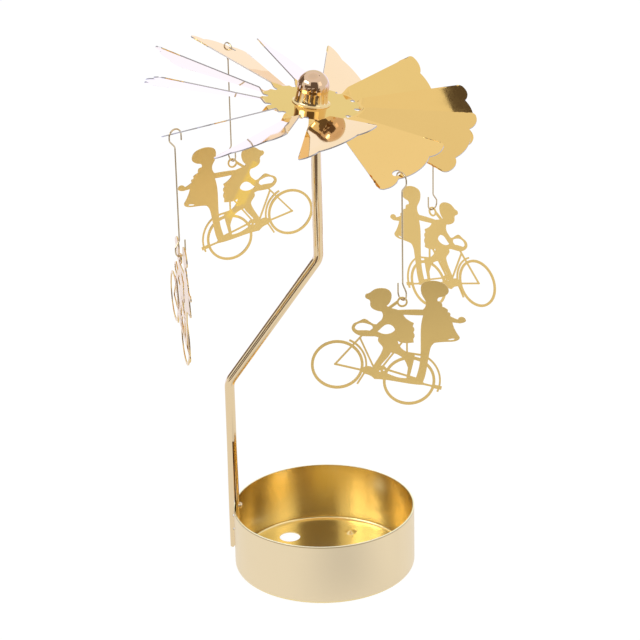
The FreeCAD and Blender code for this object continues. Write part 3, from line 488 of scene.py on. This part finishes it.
def marks_group():
    """Handling marks on plated sheet: smudges of about 8 mm, a grain of about 0.6 mm and sparse specks.

    Roughness is the plain roughness plus the smudges, Height is grain less specks, for a bump, and
    Specks is a mask of spots about 0.3 mm across in a few of the cells of an 11 mm Voronoi pattern.
    """
    group, graph, given, out = effect_group(
        "plating_marks",
        [("Roughness", NUMBER, 0.08), ("Smudge", NUMBER, 0.05), ("Grain", NUMBER, 0.3)],
        [("Roughness", NUMBER), ("Height", NUMBER), ("Specks", NUMBER)],
    )
    smudges = graph.remap(graph.noise(scale=120.0, detail=3.0), 0.35, 0.8, "SMOOTHERSTEP")
    rough = graph.math("MULTIPLY_ADD", smudges, given["Smudge"], given["Roughness"])
    cells = graph.add("TexVoronoi")
    graph.feed(cells.inputs["Scale"], 90.0)
    graph.feed(cells.inputs["Vector"], graph.place())
    specks = graph.remap(cells.outputs["Distance"], 0.035, 0.012, "SMOOTHSTEP")
    grain = graph.math("MULTIPLY", graph.noise(scale=1600.0, detail=2.0), given["Grain"])
    graph.feed(out["Roughness"], rough)
    graph.feed(out["Height"], graph.math("SUBTRACT", grain, specks))
    graph.feed(out["Specks"], specks)
    return group


def cut_edge_painted_reflection_group():
    """The cut edge of the sheet: where the attribute cut_edge is 1 the gold gives way to a dull grey, a
    painted reflection of the dim room.
    """
    group, graph, given, out = effect_group(
        "cut_edges",
        [("Color", COLOUR, (0.8, 0.6, 0.2, 1.0)), ("Roughness", NUMBER, 0.1)],
        [("Color", COLOUR), ("Roughness", NUMBER)],
    )
    edge = graph.add("Attribute", attribute_name="cut_edge").outputs["Fac"]
    graph.feed(out["Color"], graph.mix(edge, given["Color"], CUT_EDGE_PAINTED_REFLECTION))
    graph.feed(out["Roughness"], graph.math("MULTIPLY_ADD", edge, CUT_EDGE_DULLER, given["Roughness"]))
    return group


PLATING_MARKS = marks_group()
CUT_EDGES = cut_edge_painted_reflection_group()


def plated(name, light, deep, roughness, smudge=0.03, grain=0.3, specks=0.0, waves=0.0,
           cut_edges=False):
    """A plated finish: two tones mixed by a slow noise, with the shared marks in its roughness and bump.

    The waves are the slow unevenness of thin pressed sheet, a noise of about 14 mm in the bump.
    """
    material = bpy.data.materials.new(name)
    material.use_nodes = True
    graph = Graph(material.node_tree)
    shader = graph.nodes["Principled BSDF"].inputs
    graph.feed(shader["Metallic"], 1.0)
    marks = graph.add("Group", node_tree=PLATING_MARKS)
    for socket, value in (("Roughness", roughness), ("Smudge", smudge), ("Grain", grain)):
        graph.feed(marks.inputs[socket], value)
    colour = graph.mix(graph.noise(scale=42.0, detail=2.0), light, deep)
    rough = marks.outputs["Roughness"]
    if specks:
        colour = graph.mix(graph.math("MULTIPLY", marks.outputs["Specks"], specks), colour, SPECK)
    # On the cut edges the colour turns to the grey painted reflection
    if cut_edges:
        edge = graph.add("Group", node_tree=CUT_EDGES)
        graph.feed(edge.inputs["Color"], colour)
        graph.feed(edge.inputs["Roughness"], rough)
        colour, rough = edge.outputs["Color"], edge.outputs["Roughness"]
    graph.feed(shader["Base Color"], colour)
    graph.feed(shader["Roughness"], rough)
    bump = graph.add("Bump")
    graph.feed(bump.inputs["Strength"], 0.25)
    graph.feed(bump.inputs["Distance"], 0.01 * MM)
    graph.feed(bump.inputs["Height"], marks.outputs["Height"])
    if waves:
        swell = graph.add("Bump")
        graph.feed(swell.inputs["Distance"], waves * MM)
        graph.feed(swell.inputs["Height"], graph.noise(scale=70.0, detail=0.0))
        graph.feed(bump.inputs["Normal"], swell.outputs["Normal"])
    graph.feed(shader["Normal"], bump.outputs["Normal"])
    return material


def opened(material):
    """The graph of a plated finish, its shader's inputs, and what gives its colour and roughness."""
    graph = Graph(material.node_tree)
    shader = graph.nodes["Principled BSDF"].inputs
    colour, rough = [shader[name].links[0].from_socket for name in ("Base Color", "Roughness")]
    return graph, shader, colour, rough


def tray_finish():
    """Satin plating: champagne on the outside wall and a deeper gold inside; the outside's paler tone
    is partly real champagne and partly a painted whitish sheen.

    The two are told apart by the distance from the axis. On the rolled lip outside there is a
    painted highlight line with a painted shade line under it, and a painted highlight runs along the
    top of the rim; inside, painted shade darkens the wall under the rim.
    """
    material = plated(
        "tray_gold", (0.91, 0.735, 0.37), (0.88, 0.705, 0.335), 0.225, grain=0.5, specks=0.6)
    graph, shader, deep, satin = opened(material)
    level = graph.vector("MULTIPLY", "Vector", graph.place(), (1.0, 1.0, 0.0))
    reach = graph.vector("LENGTH", "Value", level)
    outside = graph.remap(reach, *[(TRAY_R + past) * MM for past in TRAY_OUTSIDE])
    height = graph.axis(graph.place(), "Z")
    # Painted shade: 1 at the rim, fading to 0 three millimetres down the inside wall
    under = graph.remap(height, (TRAY_HEIGHT - TRAY_SHADE_DEPTH) * MM, TRAY_HEIGHT * MM, "SMOOTHSTEP")
    # Where the lip's painted shade line and painted highlight line lie, up its last millimetre
    lip = graph.remap(height, (TRAY_HEIGHT - TRAY_LIP_PAINTED_LINES_DEPTH) * MM, TRAY_HEIGHT * MM)
    # Painted highlight: the top edge of the rim turns bright cream
    rim = graph.remap(height, *[(TRAY_HEIGHT - depth) * MM for depth in TRAY_RIM_HIGHLIGHT_DEPTHS])
    # Outside: champagne, partly painted sheen, with the painted lip lines; inside: gold with painted shade
    # under the rim
    walls = graph.mix(outside, graph.mix(under, deep, TRAY_PAINTED_SHADE_UNDER_RIM), graph.ramp(lip, TRAY_OUTSIDE_AND_LIP_PAINTED_LIGHT))
    graph.feed(shader["Base Color"], graph.mix(rim, walls, TRAY_RIM_PAINTED_HIGHLIGHT))
    graph.feed(shader["Roughness"], graph.math("MULTIPLY_ADD", outside, TRAY_OUTSIDE_DULLER, satin))
    return material


def cap_finish():
    """Polished plating: a rosy painted reflection on the crown and a warmer gold painted reflection from the
    waist down, mixed by height.
    """
    # The rosy tones given here are a painted reflection of the dim room above the cap
    material = plated("cap_gold", (0.74, 0.52, 0.34), (0.70, 0.48, 0.31), 0.03, smudge=0.02, grain=0.1)
    graph, shader, rosy, _ = opened(material)
    low, high = CAP_WAIST_HEIGHTS
    # 1 above the waist, where the rosy painted reflection shows
    crown = graph.remap(graph.axis(graph.place(), "Z"), low * MM, high * MM, "SMOOTHSTEP")
    graph.feed(shader["Base Color"], graph.mix(crown, CAP_LOW_PAINTED_REFLECTION, rosy))
    return material


def painted_glint_finish():
    """The plate of charm 3, where one figure is pressed a little uneven: warm glints painted into its colour
    in a band across it, on a lighter copy of the charms' gold that is painted light too.

    The band is 1 within 1.4 mm of a slanted line and 0 from 3 mm, ends 17 mm from its middle, and a
    noise of about 6 mm breaks it into patches.
    """
    # Painted light: a lighter copy of the charms' gold tone
    material = plated("charm_glint_gold", (0.86, 0.615, 0.235), (0.82, 0.575, 0.205), 0.29, grain=0.05)
    graph, shader, plain, _ = opened(material)
    from_middle = graph.vector("SUBTRACT", "Vector", graph.place(), Vector(GLINT_MIDDLE) * MM)
    aside = graph.math("ABSOLUTE", graph.vector("DOT_PRODUCT", "Value", from_middle, GLINT_ACROSS))
    reach = graph.vector("LENGTH", "Value", from_middle)
    sides = graph.remap(aside, GLINT_HALF[1] * MM, GLINT_HALF[0] * MM, "SMOOTHSTEP")
    ends = graph.remap(reach, GLINT_REACH[1] * MM, GLINT_REACH[0] * MM, "SMOOTHSTEP")
    breaks = graph.remap(graph.noise(scale=170.0, detail=1.0), 0.41, 0.47, "SMOOTHSTEP")
    patches = graph.math("MULTIPLY", graph.math("MULTIPLY", sides, ends), breaks)
    # The band takes the colour of the painted glints
    graph.feed(shader["Base Color"], graph.mix(patches, plain, PAINTED_GLINT))
    return material


SHEET_GOLD = plated(
    "sheet_gold", (0.865, 0.59, 0.205), (0.84, 0.565, 0.19), 0.035, waves=0.05, cut_edges=True)
ROD_GOLD = plated("rod_gold", (0.80, 0.63, 0.40), (0.77, 0.60, 0.37), 0.05, smudge=0.02, grain=0.08)
CHARM_GOLD = plated("charm_gold", (0.80, 0.57, 0.215), (0.76, 0.53, 0.185), 0.29, grain=0.05)
HOOK_WIRE = plated("hook_wire", (0.66, 0.55, 0.37), (0.58, 0.48, 0.31), 0.15)
NEEDLE_STEEL = plated("needle_steel", (0.62, 0.62, 0.62), (0.56, 0.56, 0.57), 0.12)
BEARING_STEEL = plated("bearing_steel", (0.56, 0.56, 0.56), (0.50, 0.50, 0.51), 0.2)
TRAY_GOLD = tray_finish()
CAP_GOLD = cap_finish()
CHARM_PAINTED_GLINT = painted_glint_finish()


# Tray

def around(radius, angle):
    """The place at a radius and an angle about the axis: r cos a and r sin a."""
    a = math.radians(angle)
    return radius * math.cos(a), radius * math.sin(a)


def pip_rise(x, y):
    """Height of the three pips: PIP_HEIGHT times cos squared of a quarter turn from crown to foot."""
    rise = np.zeros_like(x)
    for turn in range(3):
        pip = around(PIP_CIRCLE_R, PIP_ANGLE + 120.0 * turn)
        away = np.hypot(x - pip[0], y - pip[1])
        rise += PIP_HEIGHT * np.cos(np.clip(away / PIP_R, 0.0, 1.0) * math.pi / 2) ** 2
    return rise


def make_tray():
    """The drawn cup's middle surface: a pierced polar floor, then its corner and wall turned round Z."""
    middle = TRAY_SHEET / 2
    radii = np.array([*FLOOR_RINGS, TRAY_R - TRAY_CORNER])
    a = np.radians(np.arange(TRAY_COLUMNS) * 360.0 / TRAY_COLUMNS)
    flat = np.stack([radii[:, None] * np.cos(a), radii[:, None] * np.sin(a)], axis=-1).reshape(-1, 2)
    holes = []
    for turn in range(3):
        step = turn * TRAY_COLUMNS // 3
        vent = around(VENT_CIRCLE_R, VENT_ANGLE + 120.0 * turn)
        pip = around(PIP_CIRCLE_R, PIP_ANGLE + 120.0 * turn)
        holes.append((6, 16, step - 3, step + 7, vent, VENT_R, False))
        holes.append((8, 15, step + 18, step + 25, pip, PIP_R, True))
    flat, quads = pierced_grid(flat, len(radii), TRAY_COLUMNS, holes, closed=True)
    x, y = flat[:, 0], flat[:, 1]
    floor = np.stack([x, y, middle + pip_rise(x, y)], axis=-1)
    corner = arc((TRAY_R - TRAY_CORNER, middle + TRAY_CORNER), TRAY_CORNER, -90.0, 0.0, 9)
    low = np.linspace(middle + TRAY_CORNER, WALL_TOP_HEIGHTS[0], 12)[1:]
    heights = np.concatenate([low, WALL_TOP_HEIGHTS[1:], [TRAY_HEIGHT]])
    wall = np.stack([np.full_like(heights, TRAY_R), heights], axis=-1)
    shell = lathe(np.concatenate([corner, wall]), TRAY_COLUMNS)
    mesh = piece_mesh("tray_shell", [(floor, quads), shell])
    mesh = thicken("tray_shell", mesh, TRAY_SHEET, rounding=TRAY_EDGE_ROUNDING, crisp=60.0)
    add_piece("tray_shell", mesh, TRAY_GOLD, "stand", "tray")


# Support rod

def bend_turn():
    """The turn a of the rod's two equal bends, by halving.

    It solves (w - 2 r (1 - cos a)) cos a = (h - 2 r sin a) sin a, for a width w and a height h.
    """
    across = TRAY_R
    rise = ROD_HIGH_BEND - ROD_LOW_BEND
    low, high = 0.0, math.pi / 2
    for step in range(60):
        a = (low + high) / 2
        left = (across - 2 * ROD_BEND_R * (1 - math.cos(a))) * math.cos(a)
        right = (rise - 2 * ROD_BEND_R * math.sin(a)) * math.sin(a)
        low, high = (a, high) if left > right else (low, a)
    return a


def rod_line():
    """The rod's centre line above its slit in the XZ plane: straight, arc, straight, arc and straight."""
    turn = math.degrees(bend_turn())
    low = np.stack([np.full(9, -TRAY_R), np.linspace(SLIT_TOP, ROD_LOW_BEND, 9)], axis=-1)
    first = arc((-TRAY_R + ROD_BEND_R, ROD_LOW_BEND), ROD_BEND_R, 180.0, 180.0 - turn, 15)
    second = arc((-ROD_BEND_R, ROD_HIGH_BEND), ROD_BEND_R, -turn, 0.0, 15)
    high = np.stack([np.zeros(25), np.linspace(ROD_HIGH_BEND, ROD_TOP, 25)], axis=-1)
    run = np.linspace(0.0, 1.0, 20)[1:-1, None]
    slant = first[-1] + (second[0] - first[-1]) * run
    return np.concatenate([low[:-1], first, slant, second, high[1:]])


def swept_ring(line, radius):
    """A circle carried along a line in the XZ plane: centre + r cos a across the line + r sin a along Y."""
    along = np.gradient(line, axis=0)
    along /= np.linalg.norm(along, axis=1)[:, None]
    across = np.stack([along[:, 1], -along[:, 0]], axis=-1)
    a = np.radians(np.arange(ROD_COLUMNS) * 360.0 / ROD_COLUMNS)
    x = line[:, 0, None] + radius * across[:, 0, None] * np.cos(a)
    z = line[:, 1, None] + radius * across[:, 1, None] * np.cos(a)
    y = radius * np.sin(a) + np.zeros_like(x)
    return np.stack([x, y, z], axis=-1)


def prong(side):
    """One prong of the split tube: a C-shaped section between the tube's outside, its bore and the slit.

    The slit's plane stands SLIT_HALF from the middle, dips at each notch of the outer prong by a
    half circle, and at the foot leans out to round the prong's end. The saw cut is turned about
    the tube's axis, less at the rim than above it, and the two prongs are sprung apart towards it.
    """
    z = np.unique(np.concatenate([
        np.linspace(ROD_FOOT, ROD_FOOT + PRONG_END_ROUND, 14),
        np.linspace(ROD_FOOT + PRONG_END_ROUND, SLIT_TOP, 40),
        *[np.linspace(h - NOTCH_R, h + NOTCH_R, 13) for h in NOTCH_HEIGHTS],
    ]))
    cut = np.full_like(z, SLIT_HALF)
    if side < 0:
        for h in NOTCH_HEIGHTS:
            cut += np.sqrt(np.clip(NOTCH_R ** 2 - (z - h) ** 2, 0.0, None))
    foot = np.clip((ROD_FOOT + PRONG_END_ROUND - z) / PRONG_END_ROUND, 0.0, 1.0)
    cut += (ROD_R - 0.02 - cut) * (1.0 - np.sqrt(1.0 - foot ** 2)) * PRONG_END_REACH
    outer = np.arccos(np.clip(cut / ROD_R, -1.0, 1.0))[:, None]
    inner = np.arccos(np.clip(cut / ROD_BORE_R, -1.0, 1.0))[:, None]
    t = np.linspace(-1.0, 1.0, 25)
    bore = np.maximum(ROD_BORE_R * np.cos(inner * -t), cut[:, None])
    ring = np.concatenate([
        np.stack([ROD_R * np.cos(outer * t), ROD_R * np.sin(outer * t)], axis=-1),
        np.stack([bore, ROD_BORE_R * np.sin(inner * -t)], axis=-1),
    ], axis=1)
    spring = PRONG_SPRING * smooth_step((SLIT_TOP - z) / PRONG_SPRING_LENGTH)
    across = side * (ring[:, :, 0] + spring[:, None])
    aside = side * ring[:, :, 1]
    rise = smooth_step((z - TRAY_HEIGHT) / SLIT_TURN_EASE)
    turn = np.radians(SLIT_TURN_LOW + (SLIT_TURN - SLIT_TURN_LOW) * rise)[:, None]
    x = -TRAY_R + across * np.cos(turn) - aside * np.sin(turn)
    y = across * np.sin(turn) + aside * np.cos(turn)
    points = np.stack([x, y, np.broadcast_to(z[:, None], x.shape)], axis=-1)
    first = points[:1].mean(axis=1, keepdims=True) + np.zeros_like(points[:1])
    last = points[-1:].mean(axis=1, keepdims=True) + np.zeros_like(points[-1:])
    points = np.concatenate([first, points, last])
    return points.reshape(-1, 3), grid_quads(points.shape[0], points.shape[1], closed=True)


def ball(centre, radius):
    """A sphere: r sin p cos a, r sin p sin a and r cos p about its centre."""
    p = np.radians(np.linspace(0.0, 180.0, 17))
    points, quads = lathe(np.stack([radius * np.sin(p), radius * np.cos(p)], axis=-1), 32)
    return points + np.array(centre), quads


def make_rod():
    """The bent tube with its bore, and below it the two prongs and the clip's button."""
    line = rod_line()
    outside = swept_ring(line, ROD_R)
    bore = swept_ring(line[::-1], ROD_BORE_R)
    bore = np.roll(bore[:, ::-1], ROD_COLUMNS // 2 + 1, axis=1)
    tube = np.concatenate([outside, bore, outside[:1]])
    patches = [
        (tube.reshape(-1, 3), grid_quads(len(tube), ROD_COLUMNS, closed=True)),
        prong(-1),
        prong(1),
        ball(DETENT_PLACE, DETENT_R),
    ]
    mesh = piece_mesh("rod_tube", patches)
    mesh.set_sharp_from_angle(angle=math.radians(50.0))
    add_piece("rod_tube", mesh, ROD_GOLD, "stand", "support_rod")


# Wheel

def turned(angle, axis):
    """A rotation of so many degrees about an axis, as an array."""
    return np.array(Matrix.Rotation(math.radians(angle), 3, axis))


def rotor_matrix():
    """The rotor's frame: tilted about X, then about Y, with the needle's tip above its origin."""
    about_y = Matrix.Rotation(math.radians(ROTOR_TILT_Y), 3, "Y")
    about_x = Matrix.Rotation(math.radians(ROTOR_TILT_X), 3, "X")
    turn = np.array(about_y @ about_x)
    return turn, np.array(ROTOR_TIP) - turn @ np.array([0.0, 0.0, ROTOR_TIP_RISE])


def in_rotor(points):
    """Points of the rotor's frame put into the holder's frame."""
    turn, origin = rotor_matrix()
    return points @ turn.T + origin


def blade_frame(index):
    """A blade's flat frame at the disc's edge and its bent one, turned sideways, drooped and pitched."""
    spin = turned(BLADE_FIRST + 360.0 / BLADE_COUNT * index, "Z")
    pitch = turned(BLADE_PITCH + BLADE_TWISTS[index], "X")
    return spin, spin @ turned(BLADE_TURNS[index], "Z") @ turned(BLADE_DROOPS[index], "Y") @ pitch


def on_blade(index, flat):
    """Points along and across a blade, put in place: the flat frame eases into the bent one over the neck."""
    spin, bent = blade_frame(index)
    start = spin @ np.array([DISC_R, 0.0, 0.0])
    local = np.concatenate([flat, np.zeros((len(flat), 1))], axis=1)
    w = smooth_step((flat[:, :1] - NECK_FLAT) / (NECK_LENGTH - NECK_FLAT))
    return start + (local @ spin.T) * (1.0 - w) + (local @ bent.T) * w


def arc_through(a, b, c, count):
    """Points of the circle through three points: the centre is where two of their middle lines cross."""
    rows = np.array([b - a, c - a])
    centre = np.linalg.solve(rows, np.array([(b - a) @ (a + b), (c - a) @ (a + c)]) / 2.0)
    first, last = [math.atan2(*(q - centre)[::-1]) for q in (a, c)]
    turn = (last - first + math.pi) % (2 * math.pi) - math.pi
    angle = first + turn * np.linspace(0.0, 1.0, count)
    return centre + np.linalg.norm(a - centre) * np.stack([np.cos(angle), np.sin(angle)], axis=-1)


def blade_end():
    """The scalloped outer edge from one straight side to the other, as arcs through BLADE_END."""
    p = np.array(BLADE_END) * np.array([BLADE_TIP_R - DISC_R, BLADE_TIP_HALF])
    mirror = np.array([1.0, -1.0])
    right = np.concatenate([arc_through(*p[0:3], 6)[:-1], arc_through(*p[2:5], 9)[:-1]])
    middle = arc_through(p[4], p[5], p[4] * mirror, 19)
    return np.concatenate([right, middle, (right * mirror)[::-1]])


def blade_patch(index):
    """One blade: rows run from the disc along the neck, then fan out straight to the scalloped end."""
    end = blade_end()[::-1]
    columns = len(end)
    v = np.linspace(-1.0, 1.0, columns)
    t = np.linspace(0.0, 1.0, 15)[:, None]
    edge = np.sqrt(DISC_R ** 2 - (NECK_HALF * v) ** 2) - DISC_R
    along = edge * (1.0 - t) + NECK_LENGTH * t
    widen = np.clip((along - NECK_FLAT) / (NECK_LENGTH - NECK_FLAT), 0.0, 1.0)
    neck = np.stack([along, v * (NECK_HALF + (BLADE_ROOT_HALF - NECK_HALF) * widen)], axis=-1)
    u = np.linspace(0.0, 1.0, 45)[1:, None, None]
    table = np.concatenate([neck, neck[-1] + (end - neck[-1]) * u])
    holes = []
    if index in CHARM_BLADES:
        away = np.abs(table - np.array(CHARM_HOLE_PLACE))
        inside = np.argwhere((away < CHARM_HOLE_CLEAR).all(axis=-1))
        (i0, j0), (i1, j1) = inside.min(axis=0), inside.max(axis=0)
        holes.append((i0, i1, j0, j1, CHARM_HOLE_PLACE, CHARM_HOLE_R, False))
    flat, quads = pierced_grid(table.reshape(-1, 2), len(table), columns, holes)
    return on_blade(index, flat), quads


def disc_patch(neck_columns):
    """The disc: a polar grid whose border is an arc at each neck and dips between them round the slit."""
    half_neck = math.asin(NECK_HALF / DISC_R)
    half_step = math.pi / BLADE_COUNT
    v = np.linspace(-1.0, 1.0, neck_columns)
    neck = np.arcsin(NECK_HALF * v / DISC_R)
    gap = np.linspace(half_neck, 2 * half_step - half_neck, 9)[1:-1]
    dip = DISC_SLIT_DIP * np.sqrt(1.0 - ((gap - half_step) / (half_step - half_neck)) ** 2)
    turns = np.radians(BLADE_FIRST + 360.0 / BLADE_COUNT * np.arange(BLADE_COUNT))[:, None]
    angles = (turns + np.concatenate([neck, gap])).reshape(-1)
    reach = np.tile(np.concatenate([np.full_like(neck, DISC_R), DISC_R - dip]), BLADE_COUNT)
    t = np.linspace(0.0, 1.0, 14)[:, None]
    r = DISC_HOLE_R + (reach - DISC_HOLE_R) * t
    points = np.stack([r * np.cos(angles), r * np.sin(angles), np.zeros_like(r)], axis=-1)
    return points.reshape(-1, 3), grid_quads(len(t), len(angles), closed=True)


def make_wheel():
    """The wheel's sheet: the disc and twelve blades on one middle surface, then thickened."""
    patches = [disc_patch(len(blade_end()))] + [blade_patch(index) for index in range(BLADE_COUNT)]
    mesh = piece_mesh("wheel_sheet", [(in_rotor(points), quads) for points, quads in patches])
    mesh = thicken("wheel_sheet", mesh, SHEET_SHOWN)
    add_piece("wheel_sheet", mesh, SHEET_GOLD, "rotor", "wheel")


# Cap

def make_cap():
    """The pressed cap turned round its axis: dome, skirt, flange, neck and flare, then back up inside."""
    z0 = SHEET / 2
    half_wall = CAP_WALL / 2
    dome = arc((0.0, CAP_DOME_Z), CAP_DOME_R, 90.0, -12.0, 30)
    skirt = np.array([*CAP_SKIRT, (CAP_FLANGE_FOOT_R, z0 + CAP_WALL)])
    flange = arc((CAP_FLANGE_EDGE_R, z0 + half_wall), half_wall, 90.0, -90.0, 9)
    neck = np.array([(CAP_NECK_R, z0), (CAP_NECK_R, -z0), (CAP_FLARE_EDGE_R, -z0)])
    flare = arc((CAP_FLARE_EDGE_R, -z0 - half_wall), half_wall, 90.0, -90.0, 7)[1:]
    bore = np.array([(CAP_BORE_R, -z0 - CAP_WALL), (CAP_BORE_R, z0 + CAP_WALL), *CAP_INSIDE])
    inside = arc((0.0, CAP_DOME_Z), CAP_DOME_R - CAP_WALL, -8.0, 90.0, 20)
    points, quads = lathe(np.concatenate([dome, skirt, flange, neck, flare, bore, inside]), 96)
    mesh = piece_mesh("cap_dome", [(in_rotor(points), quads)])
    mesh.set_sharp_from_angle(angle=math.radians(55.0))
    add_piece("cap_dome", mesh, CAP_GOLD, "rotor", "cap")


# Studio

def glow_material(name, colour, strength):
    """A plain glow of one colour."""
    material = bpy.data.materials.new(name)
    material.use_nodes = True
    graph = Graph(material.node_tree)
    graph.nodes.remove(graph.nodes["Principled BSDF"])
    glow = graph.add("Emission")
    graph.feed(glow.inputs["Color"], colour)
    graph.feed(glow.inputs["Strength"], strength)
    graph.feed(graph.nodes["Material Output"].inputs["Surface"], glow.outputs["Emission"])
    return material


def stage_card(name, corners, colour, strength):
    """A card of the studio: four corners and a plain glow, seen only in reflections."""
    mesh = bpy.data.meshes.new(name)
    mesh.from_pydata(corners, [], [(0, 1, 2, 3)])
    card = bpy.data.objects.new(name, mesh)
    scene.collection.objects.link(card)
    mesh.materials.append(glow_material(name, colour, strength))
    card.visible_camera = False
    card.visible_diffuse = False
    card.visible_shadow = False


def tip_card_corners():
    """Corners of a small dark card overhead that only the end of blade 0 mirrors.

    Rays from the camera meet blade 0 at four places and are turned back to the level TIP_CARD_LEVEL.
    The first two lie on the line where the dark reflection starts.
    """
    spin, bent = blade_frame(0)
    turn, origin = rotor_matrix()
    normal = turn @ bent[:, 2]
    eye = np.array(scene.camera.matrix_world.translation) / MM
    corners = []
    for along, across in TIP_CARD_BLADE_PLACES:
        local = spin @ np.array([DISC_R, 0.0, 0.0]) + bent @ np.array([along, across, 0.0])
        point = origin + turn @ local
        ray = point - eye
        ray -= 2.0 * (ray @ normal) * normal
        hit = point + ray * (TIP_CARD_LEVEL - point[2]) / ray[2]
        corners.append(tuple(float(v) for v in hit * MM))
    return corners


def make_floor():
    """A pale floor that glows white to the eye and to reflections and keeps a soft shadow; reflections find a
    painted shade on it by the tray and a painted bluish glow behind.
    """
    mesh = bpy.data.meshes.new("floor")
    mesh.from_pydata([(-5, -5, 0), (5, -5, 0), (5, 7, 0), (-5, 7, 0)], [], [(0, 1, 2, 3)])
    floor = bpy.data.objects.new("floor", mesh)
    scene.collection.objects.link(floor)
    material = bpy.data.materials.new("floor_white")
    material.use_nodes = True
    graph = Graph(material.node_tree)
    shader = graph.nodes["Principled BSDF"].inputs
    graph.feed(shader["Base Color"], FLOOR_TONE)
    graph.feed(shader["Roughness"], 1.0)
    graph.feed(shader["Specular IOR Level"], 0.0)
    # Behind the tray the floor takes a painted bluish glow, seen only in reflections
    behind = graph.remap(graph.axis(graph.place(), "Y"), *FLOOR_BEHIND_FROM, "SMOOTHSTEP")
    # Round the tray the floor takes a painted shade, seen only in reflections
    away = graph.vector("DISTANCE", "Value", graph.place(), FLOOR_MIDDLE)
    near_with_painted_shade = graph.mix(graph.remap(away, 0.0, FLOOR_PAINTED_SHADE_R, "SMOOTHSTEP"), FLOOR_CLOSE_PAINTED_SHADE, FLOOR_NEAR)
    mirrored = graph.mix(behind, near_with_painted_shade, FLOOR_BEHIND_PAINTED_GLOW)
    graph.feed(shader["Emission Color"], graph.mix(graph.rays("Camera"), mirrored, FLOOR_TO_EYE))
    graph.feed(shader["Emission Strength"], graph.rays("Camera", "Glossy", "Transmission"))
    mesh.materials.append(material)


def make_world():
    """White to the eye, plain for soft light, and to reflections the sky's stops, behind and elsewhere."""
    world = bpy.data.worlds.new("studio")
    scene.world = world
    world.use_nodes = True
    graph = Graph(world.node_tree)
    plain = graph.nodes["Background"]
    graph.feed(plain.inputs["Color"], WHITE)
    graph.feed(plain.inputs["Strength"], SOFT_LIGHT)
    direction = graph.add("TexCoord").outputs["Generated"]
    behind = graph.remap(graph.axis(direction, "Y"), *SKY_BEHIND_FROM, "SMOOTHSTEP")
    up = graph.axis(direction, "Z")
    mirrored = graph.mix(behind, graph.ramp(up, SKY_ELSEWHERE), graph.ramp(up, SKY_BEHIND))
    white = graph.add("Background")
    graph.feed(white.inputs["Color"], graph.mix(graph.rays("Camera"), mirrored, WHITE))
    both = graph.add("MixShader")
    graph.feed(both.inputs["Fac"], graph.rays("Camera", "Glossy", "Transmission"))
    graph.feed(both.inputs[1], plain.outputs["Background"])
    graph.feed(both.inputs[2], white.outputs["Background"])
    graph.feed(graph.nodes["World Output"].inputs["Surface"], both.outputs["Shader"])


def make_lamp():
    """A soft square lamp overhead that reflections don't show."""
    data = bpy.data.lights.new("lamp_top", "AREA")
    data.shape = "RECTANGLE"
    data.size = LAMP_SIDE
    data.size_y = LAMP_SIDE
    data.energy = LAMP_POWER
    lamp = bpy.data.objects.new("lamp_top", data)
    lamp.location = LAMP_PLACE
    lamp.rotation_euler = (Vector(LAMP_AIM) - Vector(LAMP_PLACE)).to_track_quat("-Z", "Y").to_euler()
    lamp.visible_glossy = False
    scene.collection.objects.link(lamp)


def make_studio():
    """The floor, the world, the lamp and the cards that the polished metal mirrors."""
    make_floor()
    make_world()
    make_lamp()
    for name, height, places, colour in FLAT_CARDS:
        stage_card(name, [(*place, height) for place in places], colour, 1.0)
    for name, start, end, low, high, colour, strength in UPRIGHT_CARDS:
        corners = [(*start, low), (*end, low), (*end, high), (*start, high)]
        stage_card(name, corners, colour, strength)
    stage_card("card_tip", tip_card_corners(), TIP_CARD, 1.0)


make_camera()
make_tray()
make_rod()
make_wheel()
make_cap()

finishes = {"needle_pin": NEEDLE_STEEL, "bearing_cup": BEARING_STEEL}
for order in (1, 2, 3, 4):
    finishes["hook_%d" % order] = HOOK_WIRE
    # Charm 3 takes the finish with painted glints
    finishes["charm_%d" % order] = CHARM_PAINTED_GLINT if order == 3 else CHARM_GOLD
for node, material in finishes.items():
    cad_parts[node].material_slots[0].material = material

make_studio()
